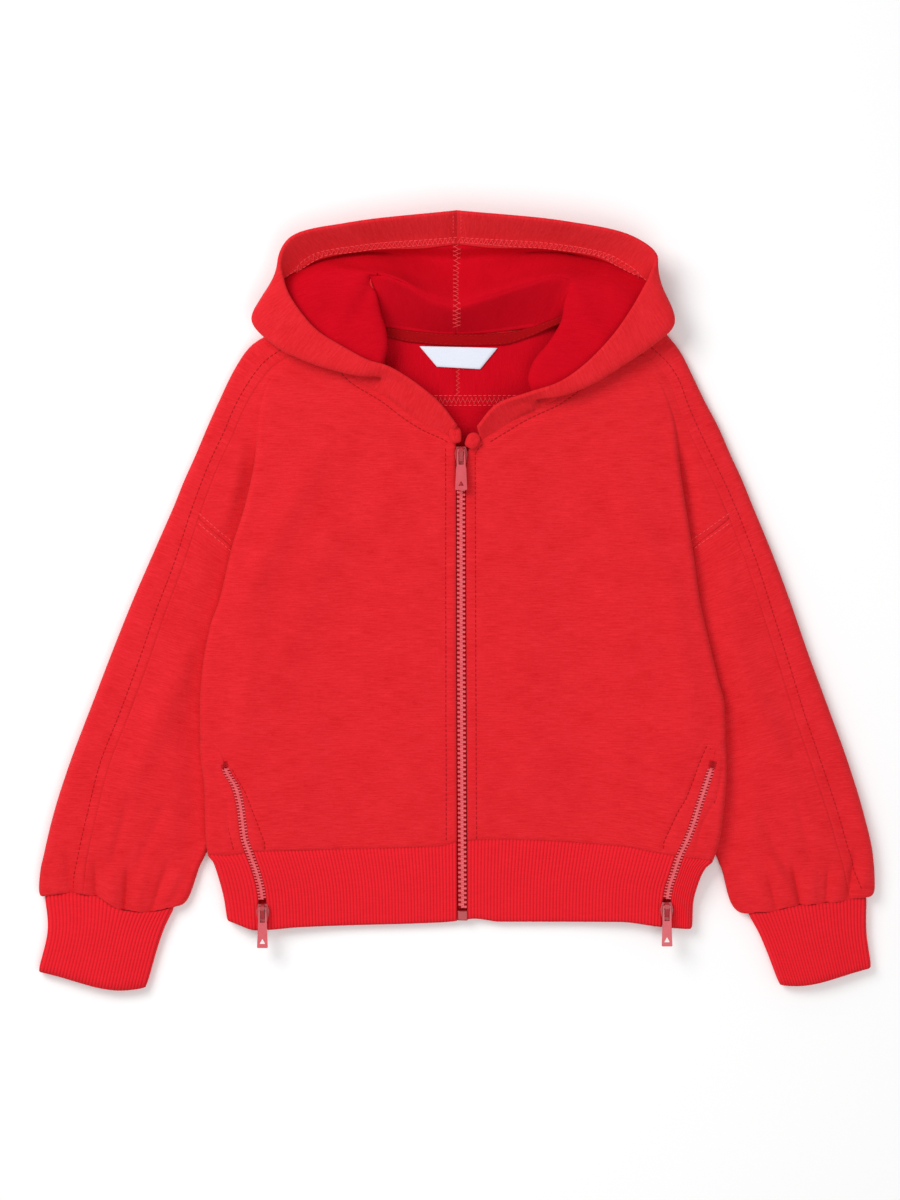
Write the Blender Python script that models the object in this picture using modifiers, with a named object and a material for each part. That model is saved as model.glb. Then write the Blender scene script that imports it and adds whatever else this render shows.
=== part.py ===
"""Child's zip-up hooded sweatshirt, laid flat on its back with the hood open.

Lengths are in millimetres and become metres when a mesh is made. The garment lies on z = 0 with its
front up, its hem towards -Y and its centre near x = 0. `t` is a distance outwards from x = 0 on
either side, so a left piece has x = -t and a right piece x = +t. Every cloth piece is a mid-surface
worked out from tables of sections, given its thickness by a Solidify modifier.
"""
import math

import bmesh
import bpy
import numpy as np

MM = 0.001
FLEECE = 1.8            # thickness of the fleece-backed jersey
RIB = 2.2               # thickness of the rib knit
TURNED = 1.2            # thickness of the turned-in hem and the neck tape
SEAM = 0.3              # half of the gap left at each seam
CLEAR = 0.35            # gap between layers that lie on each other
FLOOR = FLEECE / 2      # height of the back layer's mid-surface
FOLD_RADIUS = 3.1       # of a side fold, at the mid-surface
TUCK_RADIUS = 1.25      # of the fold hidden under the body's edge
CHAIN_WIDTH = 6.0
CHAIN_THICK = 2.4
CHAIN_GAP = 3.5         # from a zip's centre line to the cloth edge on either side
TAPE_THICK = 0.8
RIB_PITCH = 2.15
RIB_DEPTH = 0.45
SIDE_RIBS = 9           # ribs of the back hem rib that show beside each side zip
RIBS_SHORT = 3.0        # from the last of them to the fold's outermost point
UNDER_POINTS = 14       # of half of the back hem rib, beyond those ribs
FRONT_RIB_WIDTH = 126.0
SIDES = {"L": -1, "R": 1}

HEM_SEAM_Y = -164.5     # where the rib is sewn to the panels, before the seam's own sag
HEM_END_Y = -214.0
UNDERARM_Y = 18.0
UNDERARM_INSET = 3.0    # from the sleeve's inner fold to the body's own underarm point
ARMHOLE_Y = 58.0        # where the armhole seam meets the over-arm strip

# How far out the body's side fold lies, a row for each height: y, fold.
SIDE_FOLD = {
    "L": [(-217, 153.5), (-198, 156), (-182, 159.5), (-169, 163.5), (-165, 167), (-145, 168.5),
          (-123, 169), (-94, 172), (-67, 172), (-40, 170), (-14, 165), (3, 159), (39, 150.5),
          (66, 142), (97, 135.5), (117, 133.5), (137, 130), (148, 126), (159, 116), (168, 100)],
    "R": [(-217, 157.5), (-198, 158), (-182, 161.5), (-171, 166), (-166, 171), (-145, 177),
          (-108, 180.5), (-95, 180), (-67, 179), (-49, 174.5), (-26, 169), (3, 162.5),
          (35, 158), (66, 153), (90, 149.5), (117, 146.5), (137, 141), (148, 136), (159, 126),
          (168, 110)],
}
# Heights of the body's layers: y, front at the zip, front at the fold, back at the fold.
LAYERS = [(-217, 5.6, 9.2, 1.1), (-200, 5.7, 9.6, 1.2), (-168, 5.8, 13.5, 7.3), (-150, 5.9, 13.7, 7.6),
          (0, 6.6, 13.5, 7.3), (18, 6.8, 13.5, 7.3), (60, 7.6, 13.4, 7.2), (110, 9.2, 12.2, 7.0),
          (140, 10.0, 11.0, 7.0), (168, 10.2, 10.3, 7.0)]
# The tuck beside the body: y, how far the cloth has turned over (degrees), how deep it goes in.
TUCK = [(10, 180, 25.3), (18, 180, 25.3), (28, 180, 23), (40, 180, 17.3), (56, 180, 11), (70, 172, 4.1),
        (84, 150, 2), (96, 115, 1),
        (110, 70, 0.8), (130, 38, 0.8), (150, 15, 0.8), (168, 4, 0.8)]
# Where the side seam lies: y, path length from the fold, towards the front.
SIDE_SEAM = [(-101, 13.0), (-95, 8.0), (-83, 0.0), (-60, -7.0), (-20, -22.0), (16, -29.0)]
# The slanting side zips, down to the hem: y, t.
SIDE_ZIP = {
    "L": [(-217, 129.3), (-198, 130.2), (-189, 131.2), (-178, 134), (-167, 138), (-155, 142),
          (-143, 143.5), (-132, 145), (-121, 148), (-111, 154), (-101, 157)],
    "R": [(-217, 139.6), (-198, 140.4), (-189, 141.4), (-178, 144.5), (-165, 148.5), (-155, 153),
          (-144, 157.5), (-132, 161.5), (-121, 165.5), (-104, 171), (-101, 171.5)],
}
SIDE_ZIP_TOP = -105.0
SIDE_SLIDER_Y = -203.5
# The front edges beside the main zip, and above it the neckline: y, t.
FRONT_EDGE = {
    "L": [(-217, 0.4), (-150, 0.6), (0, 1.0), (109, 1.1), (112.6, 2.2), (117.5, 11.9), (122, 21),
          (129.3, 32.9), (138.3, 45.8), (144.8, 55.2), (149.4, 62), (154, 67.8), (158.1, 72), (162.6, 75.6),
          (168, 79.6)],
    "R": [(-217, 7.4), (-150, 7.2), (0, 6.6), (100, 6.4), (105, 8.5), (110.3, 16.9), (115, 24.1),
          (119.6, 31.5), (124.5, 40.1), (129.4, 49.3), (133.6, 56.3), (137.1, 61.4), (140.8, 67.1),
          (144.7, 75.8), (149.6, 82.6), (155.2, 85.9), (161.4, 87.6), (168, 88.8)],
}
MAIN_ZIP = [(-217, 3.8), (-150, 3.4), (0, 2.8), (120, 2.7)]     # y, x of the chain
MAIN_ZIP_TOP = 93.0
MAIN_SLIDER_Y = 99.5
# Sag of the hem seam and of the rib's lower edge: x, seam, lower edge.
HEM_SAG = [(-180, 0, 4), (-154, -2.5, 2.5), (-134, 0, -3.5), (-105, 0.5, -1.5), (-11, 3, 1.5),
           (0, 6, 2.5), (12, 7, 4), (29, 7.5, 2), (109, 3.5, 2), (135, -1, -1), (154, -4, -2.5),
           (180, -6.5, -3.5)]
# The over-arm strip beside the front panel: y and t of its front seam, t and y of its outer fold.
SHOULDER = {
    "L": [(167.3, 111, 125, 182.5), (159, 123.5, 138.5, 173.5), (148, 132.5, 149, 158.5),
          (131, 142.5, 159.5, 137), (112.5, 150.5, 168, 118), (93, 159.7, 176, 99), (76, 166.5, 183, 83.5),
          (58, 173, 190, 66)],
    "R": [(167.3, 125.5, 139.5, 183), (159, 135, 150, 169.5), (148, 142.5, 158.5, 152.5),
          (131, 148.8, 167, 135), (112.5, 157, 175.5, 119), (93, 166.5, 184, 99.5), (76, 174.7, 191.2, 84),
          (58, 182.5, 198.5, 66)],
}
# The sleeve below the armhole: front seam t, y; outer fold t, y; inner fold t, y; fold radii.
SLEEVE = {
    "L": [(173, 58, 190, 66, 130, 20.5, 4.0, 2.1), (184, 24, 204.5, 33, 130, 0, 4.2, 2.1),
          (195, -5, 217.5, 3, 132, -25, 4.4, 2.1), (207, -40, 231.5, -32, 137.5, -62, 4.6, 2.1),
          (219.5, -74, 244.5, -66, 143, -95, 4.8, 2.1), (233, -109, 260, -107, 151, -126, 5.0, 2.1),
          (241, -141, 270.5, -140, 161, -150, 5.0, 2.15), (246.5, -165, 277, -167, 169, -168, 4.6, 2.4),
          (249.5, -182, 280.5, -185, 179, -186.5, 4.0, 2.9),
          (250.5, -193, 279, -196, 187.5, -200.5, 3.2, 3.0)],
    "R": [(182.5, 58, 198.5, 66, 135.5, 20.5, 4.0, 2.1), (195, 25, 212.5, 32, 135.5, 0, 4.2, 2.1),
          (205.5, -8, 224, 1, 136, -25, 4.4, 2.1), (215, -38, 235, -31, 141.5, -62, 4.6, 2.1),
          (226, -74, 249, -69, 149.5, -95, 4.8, 2.1), (237.5, -108, 262, -105, 158.5, -125, 5.0, 2.1),
          (248.5, -141, 273, -141, 167.5, -153, 5.0, 2.15), (255.5, -165, 279, -168, 175, -171, 4.6, 2.4),
          (261, -182, 280.3, -185, 182, -187.5, 4.0, 2.9), (265.5, -194.5, 277, -197, 193, -205.5, 3.2, 3.0)],
}
# The seam of sleeve and cuff: t, y.
CUFF_SEAM = {
    "L": [(187.6, -201.2), (205, -205.3), (222.4, -204.6), (241.9, -194.8), (259.3, -192.2), (278.7, -194.8)],
    "R": [(193, -206.2), (199.7, -206.2), (215.7, -203.9), (226.5, -201.2), (240.2, -199.9),
          (253.9, -198.5), (268, -195.8), (278.7, -194.8)],
}
# The cuffs: outer edge t, y; inner edge t, y; sway of the row along the sleeve. The first row takes
# its y from the cuff seam.
CUFF = {
    "L": [(276.5, -196.8, 190, -201.4, 0), (274.7, -218, 197.5, -219.5, 1.0),
          (281, -245.5, 208.5, -256, -5.0)],
    "R": [(274.8, -197.9, 195.5, -206.2, 0), (274.8, -219, 204, -223, -0.8),
          (278, -243, 216.5, -254.5, -3.5)],
}
# The half yoke inside the neck: neckline t, y, z; lower seam t, y; how far its columns crowd to the
# neckline, from 0 (even) to 1 (as on the shoulder fold).
YOKE = {
    "L": [(0.3, 181.3, 0.9, 0.3, 137, 0), (30, 183, 0.9, 30, 137, 0), (58, 187, 0.9, 58, 137, 0.5),
          (69, 188.6, 1.3, 69, 136.5, 1.0)],
    "R": [(0.3, 181.3, 0.9, 0.3, 137, 0), (30, 183, 0.9, 30, 137, 0), (60, 187, 0.9, 60, 137, 0.5),
          (74, 189.0, 1.3, 74, 136.5, 1.0)],
}
# The strip between the yoke and the front seam: front t, y, z; shoulder fold t, y; back seam t, y;
# the radius of the fold, and how far it turns (degrees).
NECK_SIDE = {
    "L": [(74, 186, 3.5, 74.4, 190.2, 74.5, 136.2, 2.6, 60), (78, 186, 6.1, 79, 190.5, 78.5, 136, 2.6, 120),
          (81, 186.2, 6.2, 83.4, 190.6, 82, 135.6, 2.6, 180),
          (83.5, 178.5, 8.4, 91, 190, 89, 134.5, 3.4, 180),
          (84.5, 169.2, 9.5, 104, 187.5, 98, 133.4, 3.8, 180)],
    "R": [(79, 186.4, 3.5, 79.4, 190.6, 79.5, 136.2, 2.6, 60),
          (83, 186.4, 6.1, 84, 190.9, 83.5, 136, 2.6, 120),
          (86.5, 186.6, 6.2, 89, 191, 88, 135.6, 2.6, 180),
          (91, 178.5, 8.4, 99, 190.4, 96, 134.5, 3.4, 180),
          (92.5, 169.2, 9.5, 116, 188, 106, 133.4, 3.8, 180)],
}
# The back seam of the over-arm strip on the shoulder, a row for each row of SHOULDER: t, y.
BACK_SEAM = {
    "L": [(108, 132), (121, 129.5), (132, 124.5), (142, 117), (150, 105), (158, 92.5), (166, 75), (173, 58)],
    "R": [(118, 132), (132, 129.5), (142.5, 124.5), (150, 117), (157, 105), (165, 92.5), (174, 75),
          (182.5, 58)],
}
# The hood, a row for each place round the neck from the zip to the centre back. Each row gives the
# neck seam, the inner roll, the lobe or valley, the outer edge and the rim, as t, y, z.
HOOD = {
    "L": [
        ((2.6, 114, 10.2), None, None, None, (1.0, 119, 16)),
        ((23, 124, 10.2), None, None, None, (15.5, 136, 19)),
        ((51, 143, 10.3), None, None, None, (45, 156.5, 21)),
        ((66, 153.5, 10.3), (49, 162, 13.8), (56, 158.5, 16.5), (65, 153, 19.5), (60, 161.5, 23)),
        ((75, 163, 10.3), (47, 173, 14.5), (68, 168, 17.6), (87, 158, 20), (76, 170, 24)),
        ((81.6, 175, 9.3), (48.3, 184.7, 15.1), (82, 177, 18.2), (105, 164.5, 20.5), (93, 180.5, 25)),
        ((77.2, 186, 6.2), (51, 193, 15.5), (86, 192, 18.8), (118, 171, 20.5), (103, 191, 25.5)),
        ((66, 189.6, 3.0), (54, 206, 17), (90, 206, 20), (136, 189, 20.5), (113, 206, 25.5)),
        ((54, 187.4, 1.6), (58, 219, 20.5), (88, 222, 18), (130, 204, 19), (116.5, 216, 25.5)),
        ((42, 185.6, 1.4), (49, 219, 21), (88, 232, 8), (122, 219, 14), (118.5, 229, 25)),
        ((30, 184, 1.2), (35.3, 214.1, 22.1), (64, 240, 2.5), (104, 238, 9), (110, 243.5, 25.5)),
        ((17, 182.9, 1.1), (18, 204, 20.5), (33, 240, 1.6), (64, 246, 10), (71.5, 253, 26)),
        ((0.3, 182.1, 1.1), (0.3, 199.5, 20), (0.3, 238, 1.6), (0.3, 249, 10.5), (0.3, 260.8, 26.5)),
    ],
    "R": [
        ((16.5, 111, 10.2), None, None, None, (14.5, 118, 16)),
        ((33, 121.5, 10.2), None, None, None, (27, 132, 19)),
        ((53, 132.5, 10.3), None, None, None, (48, 139.5, 21)),
        ((65, 140.5, 10.4), (48, 151, 13.8), (58, 146.5, 16.5), (69, 139.5, 19.5), (68, 146.5, 23)),
        ((81, 150, 10.3), (52, 163, 14.5), (74, 156, 17.6), (90, 147.5, 20), (85, 158, 24)),
        ((86, 163, 10.3), (61, 174, 15.0), (88, 168, 18.2), (112, 161, 20.5), (104, 177.5, 25)),
        ((87.6, 178, 8.8), (70, 189, 15.5), (95, 187, 18.8), (129, 172.5, 20.5), (117, 196, 25.5)),
        ((75, 189.9, 3.6), (72, 201, 17.5), (97, 203, 20), (144, 187, 20.5), (125, 210, 25.5)),
        ((60.2, 187.3, 1.7), (75.3, 214.8, 19.7), (97, 214, 18), (140, 203, 19), (129.5, 219, 25.5)),
        ((44, 185.8, 1.4), (66, 218, 21), (92, 231, 6), (134, 217, 14), (132.5, 231, 25)),
        ((30, 184, 1.2), (46, 213, 21), (64, 240.5, 2.5), (108, 238.5, 9), (116, 244, 25.5)),
        ((17, 182.9, 1.1), (24, 206, 20.5), (34, 240, 1.6), (65, 247, 10), (72, 253.8, 26)),
        ((0.3, 182.1, 1.1), (0.3, 199.5, 20), (0.3, 238, 1.6), (0.3, 249, 10.5), (0.3, 260.8, 26.5)),
    ],
}
# Height of the over-arm strip's front seam: y, z.
SEAM_HEIGHT = [(-200, 7.4), (-150, 9.8), (-60, 9.8), (20, 9.2), (58, 9.0), (100, 9.0), (140, 9.4), (168, 9.6)]
ARMHOLE_INSET = 1.8     # of a sleeve's first section, from the armhole seam
GATHERS = [0.6, 1.1]    # height of the gathers in the sleeve's last two sections
STRIP_END = 11          # index of the strip's last point in a sleeve section
FOLD_MIDDLE = 20        # index of the inner fold's middle
PRESSED_HEIGHT = 4.1    # of a sleeve's upper layer under the body's edge
CUFF_RIBS = 32
CUFF_RADIUS = 2.9       # of the cuff's folds, at the mid-surface
CUFF_DOME = 1.2         # how far the cuff's upper layer bulges
NECK_TURN_UP = 1.5      # how far the strip runs on past its bend there
TUCK_LIFT = 2.0         # how far the layer under the fold rises towards the underarm, clear of the back
HEM_FROM = 18           # the hood row from which its turned-in hem shows
HOOD_SPANS = [2, 1, 1, 2, 1, 1, 1, 2]      # steps between a hood section's points
HOOD_TURN = 2.3         # radius of the hood's rolls, at the mid-surface
HOOD_HEM = 18.0         # width of the turned-in hem at the opening
HEM_GAP = 0.5           # between the hood and its turned-in hem

BACK_TOP_Y = 114.0      # above this the back panel reaches its seam with the yoke
TOP_POINTS, FOLD_POINTS, ROLL_POINTS = 40, 16, 12      # of a section's path, before it is sampled
FRONT_STEPS = [6, 3, 1, 3, 3]      # of a front row: top layer, fold, layer under it, tuck, beyond
SHORT_STEP = 0.8        # the least step there
FOLD_SPREAD = 4.9       # path length from a fold's outermost point to where its curve ends
BACK_ROWS = [15, 28, 42, 58, 88, 113.5, 137]     # above the body's rows
BACK_POINTS = 22        # steps across the back panel
BODY_ROWS = [-164.5, -150, -132, -112, -103, -96, -89, -82, -70, -54, -25, 10]
UPPER_ROWS = [12.4, 15.6, 18.4, 25.6, 40.3, ARMHOLE_Y]
NECK_ROWS = [120, 139.5]
HEM_ROWS = [-165.1, -190, HEM_END_Y]
TAPE_LENGTH = 96.0      # of the neck tape
TAPE_DROP = 6.4         # width of the neck tape that shows
LABEL_CORNERS = [(-25, 173.6), (27, 172.4), (15.5, 158.4), (-13.5, 160)]
LABEL_THICK = 0.7
MAIN_TAPE = (5.6, 10.6)      # distance of a main zip tape's middle from the chain, and its width
SIDE_TAPE_WIDTH = 15.0
SLIDER_SIZE = (8.6, 12.5, 1.7)
# The slider's outline, as shares of its width and length.
SLIDER_OUTLINE = [(-0.34, -0.5), (0.34, -0.5), (0.5, 0.12), (0.36, 0.5), (-0.36, 0.5), (-0.5, 0.12)]
BRIDGE_WIDTH = 2.6
PIVOT_Y = 3.6           # from the slider's middle, towards its head
PIVOT_Z = 3.1           # above the slider's underside
# Side view of the bridge, y and z: an arch over the hole that the pull's bar sits in.
BRIDGE = [(-3.6, 1.2), (1.9, 1.2), (1.9, 3.9), (2.6, 4.4), (4.6, 4.4), (5.3, 3.9), (5.3, 1.2), (6.0, 1.2),
          (6.0, 4.1), (4.9, 5.3), (2.2, 5.3), (-3.6, 2.6)]
PULL_THICK = 1.4
ZIP_BOX_SIZE = (6.8, 6.6, 2.6)
PULL_REST = -2.0        # how far a pull droops from its slider (degrees)
CORNER = 0.6            # of the zip box and the turned-in ends
CLOTH_RED = (0.76, 0.018, 0.028)
RIB_RED = (0.70, 0.014, 0.024)
TAPE_RED = (0.62, 0.018, 0.03)
ZIP_RED = (0.78, 0.10, 0.13)
LABEL_WHITE = (0.9, 0.9, 0.92)


# ---------------------------------------------------------------- curves

def ease(keys, values, at):
    """Value at each place: cubic runs between the rows of a table, that never overshoot them."""
    keys = np.asarray(keys, float)
    values = np.asarray(values, float)
    order = np.argsort(keys)
    keys, values = keys[order], values[order]
    at = np.clip(np.asarray(at, float), keys[0], keys[-1])
    steps = np.diff(keys)
    slopes = np.diff(values) / steps
    tangents = np.zeros_like(values)
    same = slopes[:-1] * slopes[1:] > 0
    total = np.where(same, slopes[:-1] + slopes[1:], 1.0)
    tangents[1:-1] = np.where(same, 2 * slopes[:-1] * slopes[1:] / total, 0.0)
    tangents[0], tangents[-1] = slopes[0], slopes[-1]
    cell = np.clip(np.searchsorted(keys, at) - 1, 0, len(steps) - 1)
    u = (at - keys[cell]) / steps[cell]
    rise = values[cell + 1] - values[cell]
    return (values[cell] + rise * (3 * u ** 2 - 2 * u ** 3)
            + steps[cell] * (tangents[cell] * u * (1 - u) ** 2 - tangents[cell + 1] * u ** 2 * (1 - u)))


def column(table, key, value, at):
    """One column of a table, read at `at` by its key column."""
    return ease([row[key] for row in table], [row[value] for row in table], at)


def smooth(low, high, at):
    """0 below `low`, 1 above `high`, and an S between them."""
    u = np.clip((np.asarray(at, float) - low) / (high - low), 0, 1)
    return u * u * (3 - 2 * u)


def through(points, per_span):
    """A Catmull-Rom curve through an array of points, with steps spaced by the root of each chord."""
    points = np.asarray(points, float)
    knots = np.concatenate([[0], np.cumsum(np.linalg.norm(np.diff(points, axis=0), axis=1) ** 0.5 + 1e-6)])
    slopes = np.diff(points, axis=0) / np.diff(knots)[:, None]
    weights = (np.diff(knots)[1:] / (knots[2:] - knots[:-2]))[:, None]
    tangents = np.vstack([slopes[:1], slopes[:-1] * weights + slopes[1:] * (1 - weights), slopes[-1:]])
    out = [points[:1]]
    for span, count in enumerate(per_span):
        u = (np.arange(1, count + 1) / count)[:, None]
        width = knots[span + 1] - knots[span]
        rise = points[span + 1] - points[span]
        out.append(points[span] + rise * (3 * u ** 2 - 2 * u ** 3)
                   + width * (tangents[span] * u * (1 - u) ** 2 - tangents[span + 1] * u ** 2 * (1 - u)))
    return np.vstack(out)


def lengths(path):
    """Distance along a path at each of its points."""
    return np.concatenate([[0], np.cumsum(np.linalg.norm(np.diff(path, axis=0), axis=1))])


def steps_along(path, start, end, count, bend=9.0):
    """Points on a path between two distances, closer together where the path bends."""
    run = lengths(path)
    heading = np.unwrap(np.arctan2(*np.diff(path[:, :2], axis=0).T[::-1]))
    turning = np.zeros(len(path))
    turning[1:-1] = np.abs(np.diff(heading))
    load = 0.35 * run + bend * np.cumsum(turning)
    places = np.interp(np.linspace(np.interp(start, run, load), np.interp(end, run, load), count), load, run)
    return np.column_stack([np.interp(places, run, path[:, axis]) for axis in range(path.shape[1])])


def arc(centre, radius, first, turn, count):
    """Points round a centre in the (t, z) plane; angles in radians, the first point left out."""
    angles = first + turn * np.arange(1, count + 1) / count
    return np.column_stack([centre[0] + radius * np.cos(angles), centre[1] + radius * np.sin(angles)])


# ---------------------------------------------------------------- body sections

def fold_at(side, y):
    """How far out the side fold's mid-surface lies."""
    return column(SIDE_FOLD[side], 0, 1, y) - FLEECE / 2


def inner_at(side, y):
    """How far out the sleeve's inner fold lies under the body."""
    return column(SLEEVE[side], 5, 4, y)


def front_run(side, y, end):
    """The front's top layer from the zip or neckline out to `end`, as (t, z)."""
    start = column(FRONT_EDGE[side], 0, 1, y)
    fold = fold_at(side, y)
    t = np.linspace(start, end, TOP_POINTS)
    z_zip = column(LAYERS, 0, 1, y)
    z_fold = column(LAYERS, 0, 2, y)
    return np.column_stack([t, z_zip + (z_fold - z_zip) * smooth(0.42 * fold, 0.93 * fold, t)])


def loop_path(side, y):
    """A body section below the underarm: front, round the side fold and back in to x = 0.

    Returns the (t, z) path and the distance along it of the fold's outermost point."""
    fold = fold_at(side, y)
    top = column(LAYERS, 0, 2, y)
    low = column(LAYERS, 0, 3, y)
    base = FLOOR if y >= HEM_SEAM_Y else RIB / 2
    radius = (top - low) / 2
    front = front_run(side, y, fold - radius)
    turn = arc((fold - radius, low + radius), radius, math.pi / 2, -math.pi, FOLD_POINTS)
    t = np.linspace(fold - radius, 0, 60)[1:]
    ride = inner_at(side, y)
    back = np.column_stack([t, base + (low - base) * smooth(ride - 30, ride - 10, t)])
    path = np.vstack([front, turn, back])
    return path, lengths(path)[len(front) + FOLD_POINTS // 2 - 1]


def tuck_path(side, y):
    """A front section above the underarm: over the fold, in under it, and out to the outer seam.

    Returns the (t, z) path and the distances along it where the fold and the tuck start and end."""
    fold = fold_at(side, y)
    top = column(LAYERS, 0, 2, y)
    turn = math.radians(float(column(TUCK, 0, 1, y)))
    depth = column(TUCK, 0, 2, y)
    over, under = FOLD_RADIUS, TUCK_RADIUS
    start = fold - over * math.sin(min(turn, math.pi / 2))
    front = front_run(side, y, start)
    first = arc((start, top - over), over, math.pi / 2, -turn, ROLL_POINTS)
    heading = np.array([math.cos(-turn), math.sin(-turn)])
    middle = first[-1] + heading * depth + np.array([0, TUCK_LIFT * (1 - smooth(18, 45, y))])
    side_on = np.array([-heading[1], heading[0]])
    centre = middle + side_on * under
    opened = turn * min(1.0, (y - BODY_ROWS[-1]) / (UNDERARM_Y - BODY_ROWS[-1]))
    second = arc(centre, under, -turn - math.pi / 2, opened, ROLL_POINTS)
    inner = second[-1]
    run = lengths(np.vstack([front, first, [middle], second]))
    corners = np.cumsum([TOP_POINTS - 1, ROLL_POINTS, 1, ROLL_POINTS])
    stations = list(run[corners])
    if y < UNDERARM_Y:
        return np.vstack([front, first, [middle], second]), stations
    outer, z_outer = outer_seam(side, y)
    t = np.linspace(inner[0], outer, 20)[1:]
    rise = smooth(min(fold + 2, outer - 5), min(fold + 13, outer), t)
    last = np.column_stack([t, inner[1] + (z_outer - inner[1]) * rise])
    return np.vstack([front, first, [middle], second, last]), stations


def seam_height(y):
    """Height of the over-arm strip's front seam."""
    return column(SEAM_HEIGHT, 0, 1, y)


def outer_seam(side, y):
    """Where the front panel ends above the underarm: the over-arm seam, or the armhole below it."""
    if y >= ARMHOLE_Y:
        rows = SHOULDER[side][::-1]
        return np.interp(y, [row[0] for row in rows], [row[1] for row in rows]), seam_height(y)
    corner, root = SLEEVE[side][0][0], SLEEVE[side][0][4] - UNDERARM_INSET
    share = (y - UNDERARM_Y) / (ARMHOLE_Y - UNDERARM_Y)
    t = root + (corner - root) * share
    return t, pressed(side, t, y, seam_height(ARMHOLE_Y))


def pressed(side, t, y, height):
    """A sleeve's height where the body's edge lies on it: pressed down under the fold."""
    under = 1 - smooth(2.0, 13.0, np.asarray(t) - fold_at(side, y))
    return height * (1 - under) + (FLOOR + PRESSED_HEIGHT) * under


def seam_place(side, y, path, fold_run):
    """Distance along a loop section of the side seam or zip, and half of the gap there."""
    gap = SEAM + (CHAIN_GAP - SEAM) * (1 - smooth(SIDE_ZIP_TOP - 5, SIDE_ZIP_TOP + 2, y))
    gap += 0.3 * smooth(-103, -95, y) * (1 - smooth(-70, -60, y))
    outward = slice(TOP_POINTS + FOLD_POINTS // 2)
    zip_y = min(y, SIDE_SEAM[0][0])
    along_zip = np.interp(column(SIDE_ZIP[side], 0, 1, zip_y), path[outward, 0], lengths(path)[outward])
    along_seam = fold_run - column(SIDE_SEAM, 0, 1, y)
    if y <= SIDE_SEAM[0][0]:
        return along_zip, gap
    if y >= SIDE_SEAM[2][0]:
        return along_seam, gap
    share = smooth(SIDE_SEAM[0][0], SIDE_SEAM[2][0], y)
    return along_zip * (1 - share) + fold_run * share, gap


def hem_y(x, y):
    """A body row's y at each x: the hem seam's sag fades out up the body, and the rib has its own."""
    seam = column(HEM_SAG, 0, 1, x)
    end = column(HEM_SAG, 0, 2, x)
    if y >= HEM_SEAM_Y:
        return y + seam * (1 - smooth(HEM_SEAM_Y, HEM_SEAM_Y + 70, y))
    share = (HEM_SEAM_Y - y) / (HEM_SEAM_Y - HEM_END_Y)
    return y + seam * (1 - share) + end * share


def place(side, path, y):
    """A (t, z) path at height y, as x, y, z points."""
    x = SIDES[side] * path[:, 0]
    return np.column_stack([x, hem_y(x, y), path[:, 1]])


def zoned(path, stations, counts):
    """Points on a path with a fixed number of steps between each two stations along it."""
    run = lengths(path)
    places = [np.array([stations[0]])]
    for start, end, count in zip(stations, stations[1:], counts):
        places.append(np.linspace(start, end, count + 1)[1:])
    places = np.concatenate(places)
    return np.column_stack([np.interp(places, run, path[:, axis]) for axis in range(path.shape[1])])


def front_row(side, y):
    """One row of a front panel, from the zip or neckline outwards.

    Its steps fall on the top layer, the fold, the layer under it, the tuck and the layer beyond."""
    if y > BODY_ROWS[-1]:
        path, tuck_at = tuck_path(side, y)
        slant = outer_seam(side, y + 0.5)[0] - outer_seam(side, y - 0.5)[0]
        end = lengths(path)[-1] - SEAM * math.hypot(1, slant) * (y >= UNDERARM_Y)
        stations = tuck_at + [end]
        for zone in (3, 2, 1, 0):
            stations[zone] = min(stations[zone], stations[zone + 1] - FRONT_STEPS[zone + 1] * SHORT_STEP)
    else:
        path, fold_run = loop_path(side, y)
        cut, gap = seam_place(side, y, path, fold_run)
        end = cut - gap
        fold_start, fold_end = fold_run - FOLD_SPREAD, fold_run + FOLD_SPREAD
        stations = [min(fold_start, end - 15), min(fold_end, end - 8), end - 3.2, end - 1.6, end]
        near_end = smooth(end - 12, end - 3, lengths(path))
        path[:, 1] += TUCK_LIFT * smooth(-15, BODY_ROWS[-1], y) * near_end
    return place(side, zoned(path, [0] + stations, FRONT_STEPS), y)


def back_row(y, count):
    """One row of the back panel or back rib, from the left seam round to the right one."""
    halves = []
    for side in SIDES:
        if y > BACK_TOP_Y:
            halves.append(under_yoke(side, count // 2 + 1))
            continue
        if y > BODY_ROWS[-1]:
            outer = back_edge(side, y)
            path = np.column_stack([np.linspace(outer, 0, 60), np.full(60, FLOOR)])
            start = SEAM
        else:
            path, fold_run = loop_path(side, y)
            cut, gap = seam_place(side, y, path, fold_run)
            start = cut + gap
        halves.append(place(side, steps_along(path, start, lengths(path)[-1], count // 2 + 1), y))
    return np.vstack([halves[0], halves[1][-2::-1]])


def under_yoke(side, count):
    """The back panel's top row, along the seam under the yoke."""
    seam = [(row[3], row[4]) for row in YOKE[side]] + [row[5:7] for row in NECK_SIDE[side]]
    seam = np.array(seam + BACK_SEAM[side][:3], float)
    t = np.linspace(seam[-1, 0] - 1.5, 0, count)
    y = np.interp(t, seam[:, 0], seam[:, 1]) - 2 * SEAM
    return np.column_stack([SIDES[side] * t, y, np.full(count, FLOOR)])


def back_edge(side, y):
    """Where the back panel ends above the underarm: the armhole, then the strip's back seam."""
    if y <= ARMHOLE_Y:
        corner, root = SLEEVE[side][0][0], SLEEVE[side][0][4]
        share = max(0.0, (y - UNDERARM_Y) / (ARMHOLE_Y - UNDERARM_Y))
        return root - 5 + (corner - root + 5) * share
    return column(BACK_SEAM[side], 1, 0, y)


# ---------------------------------------------------------------- meshes

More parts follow.
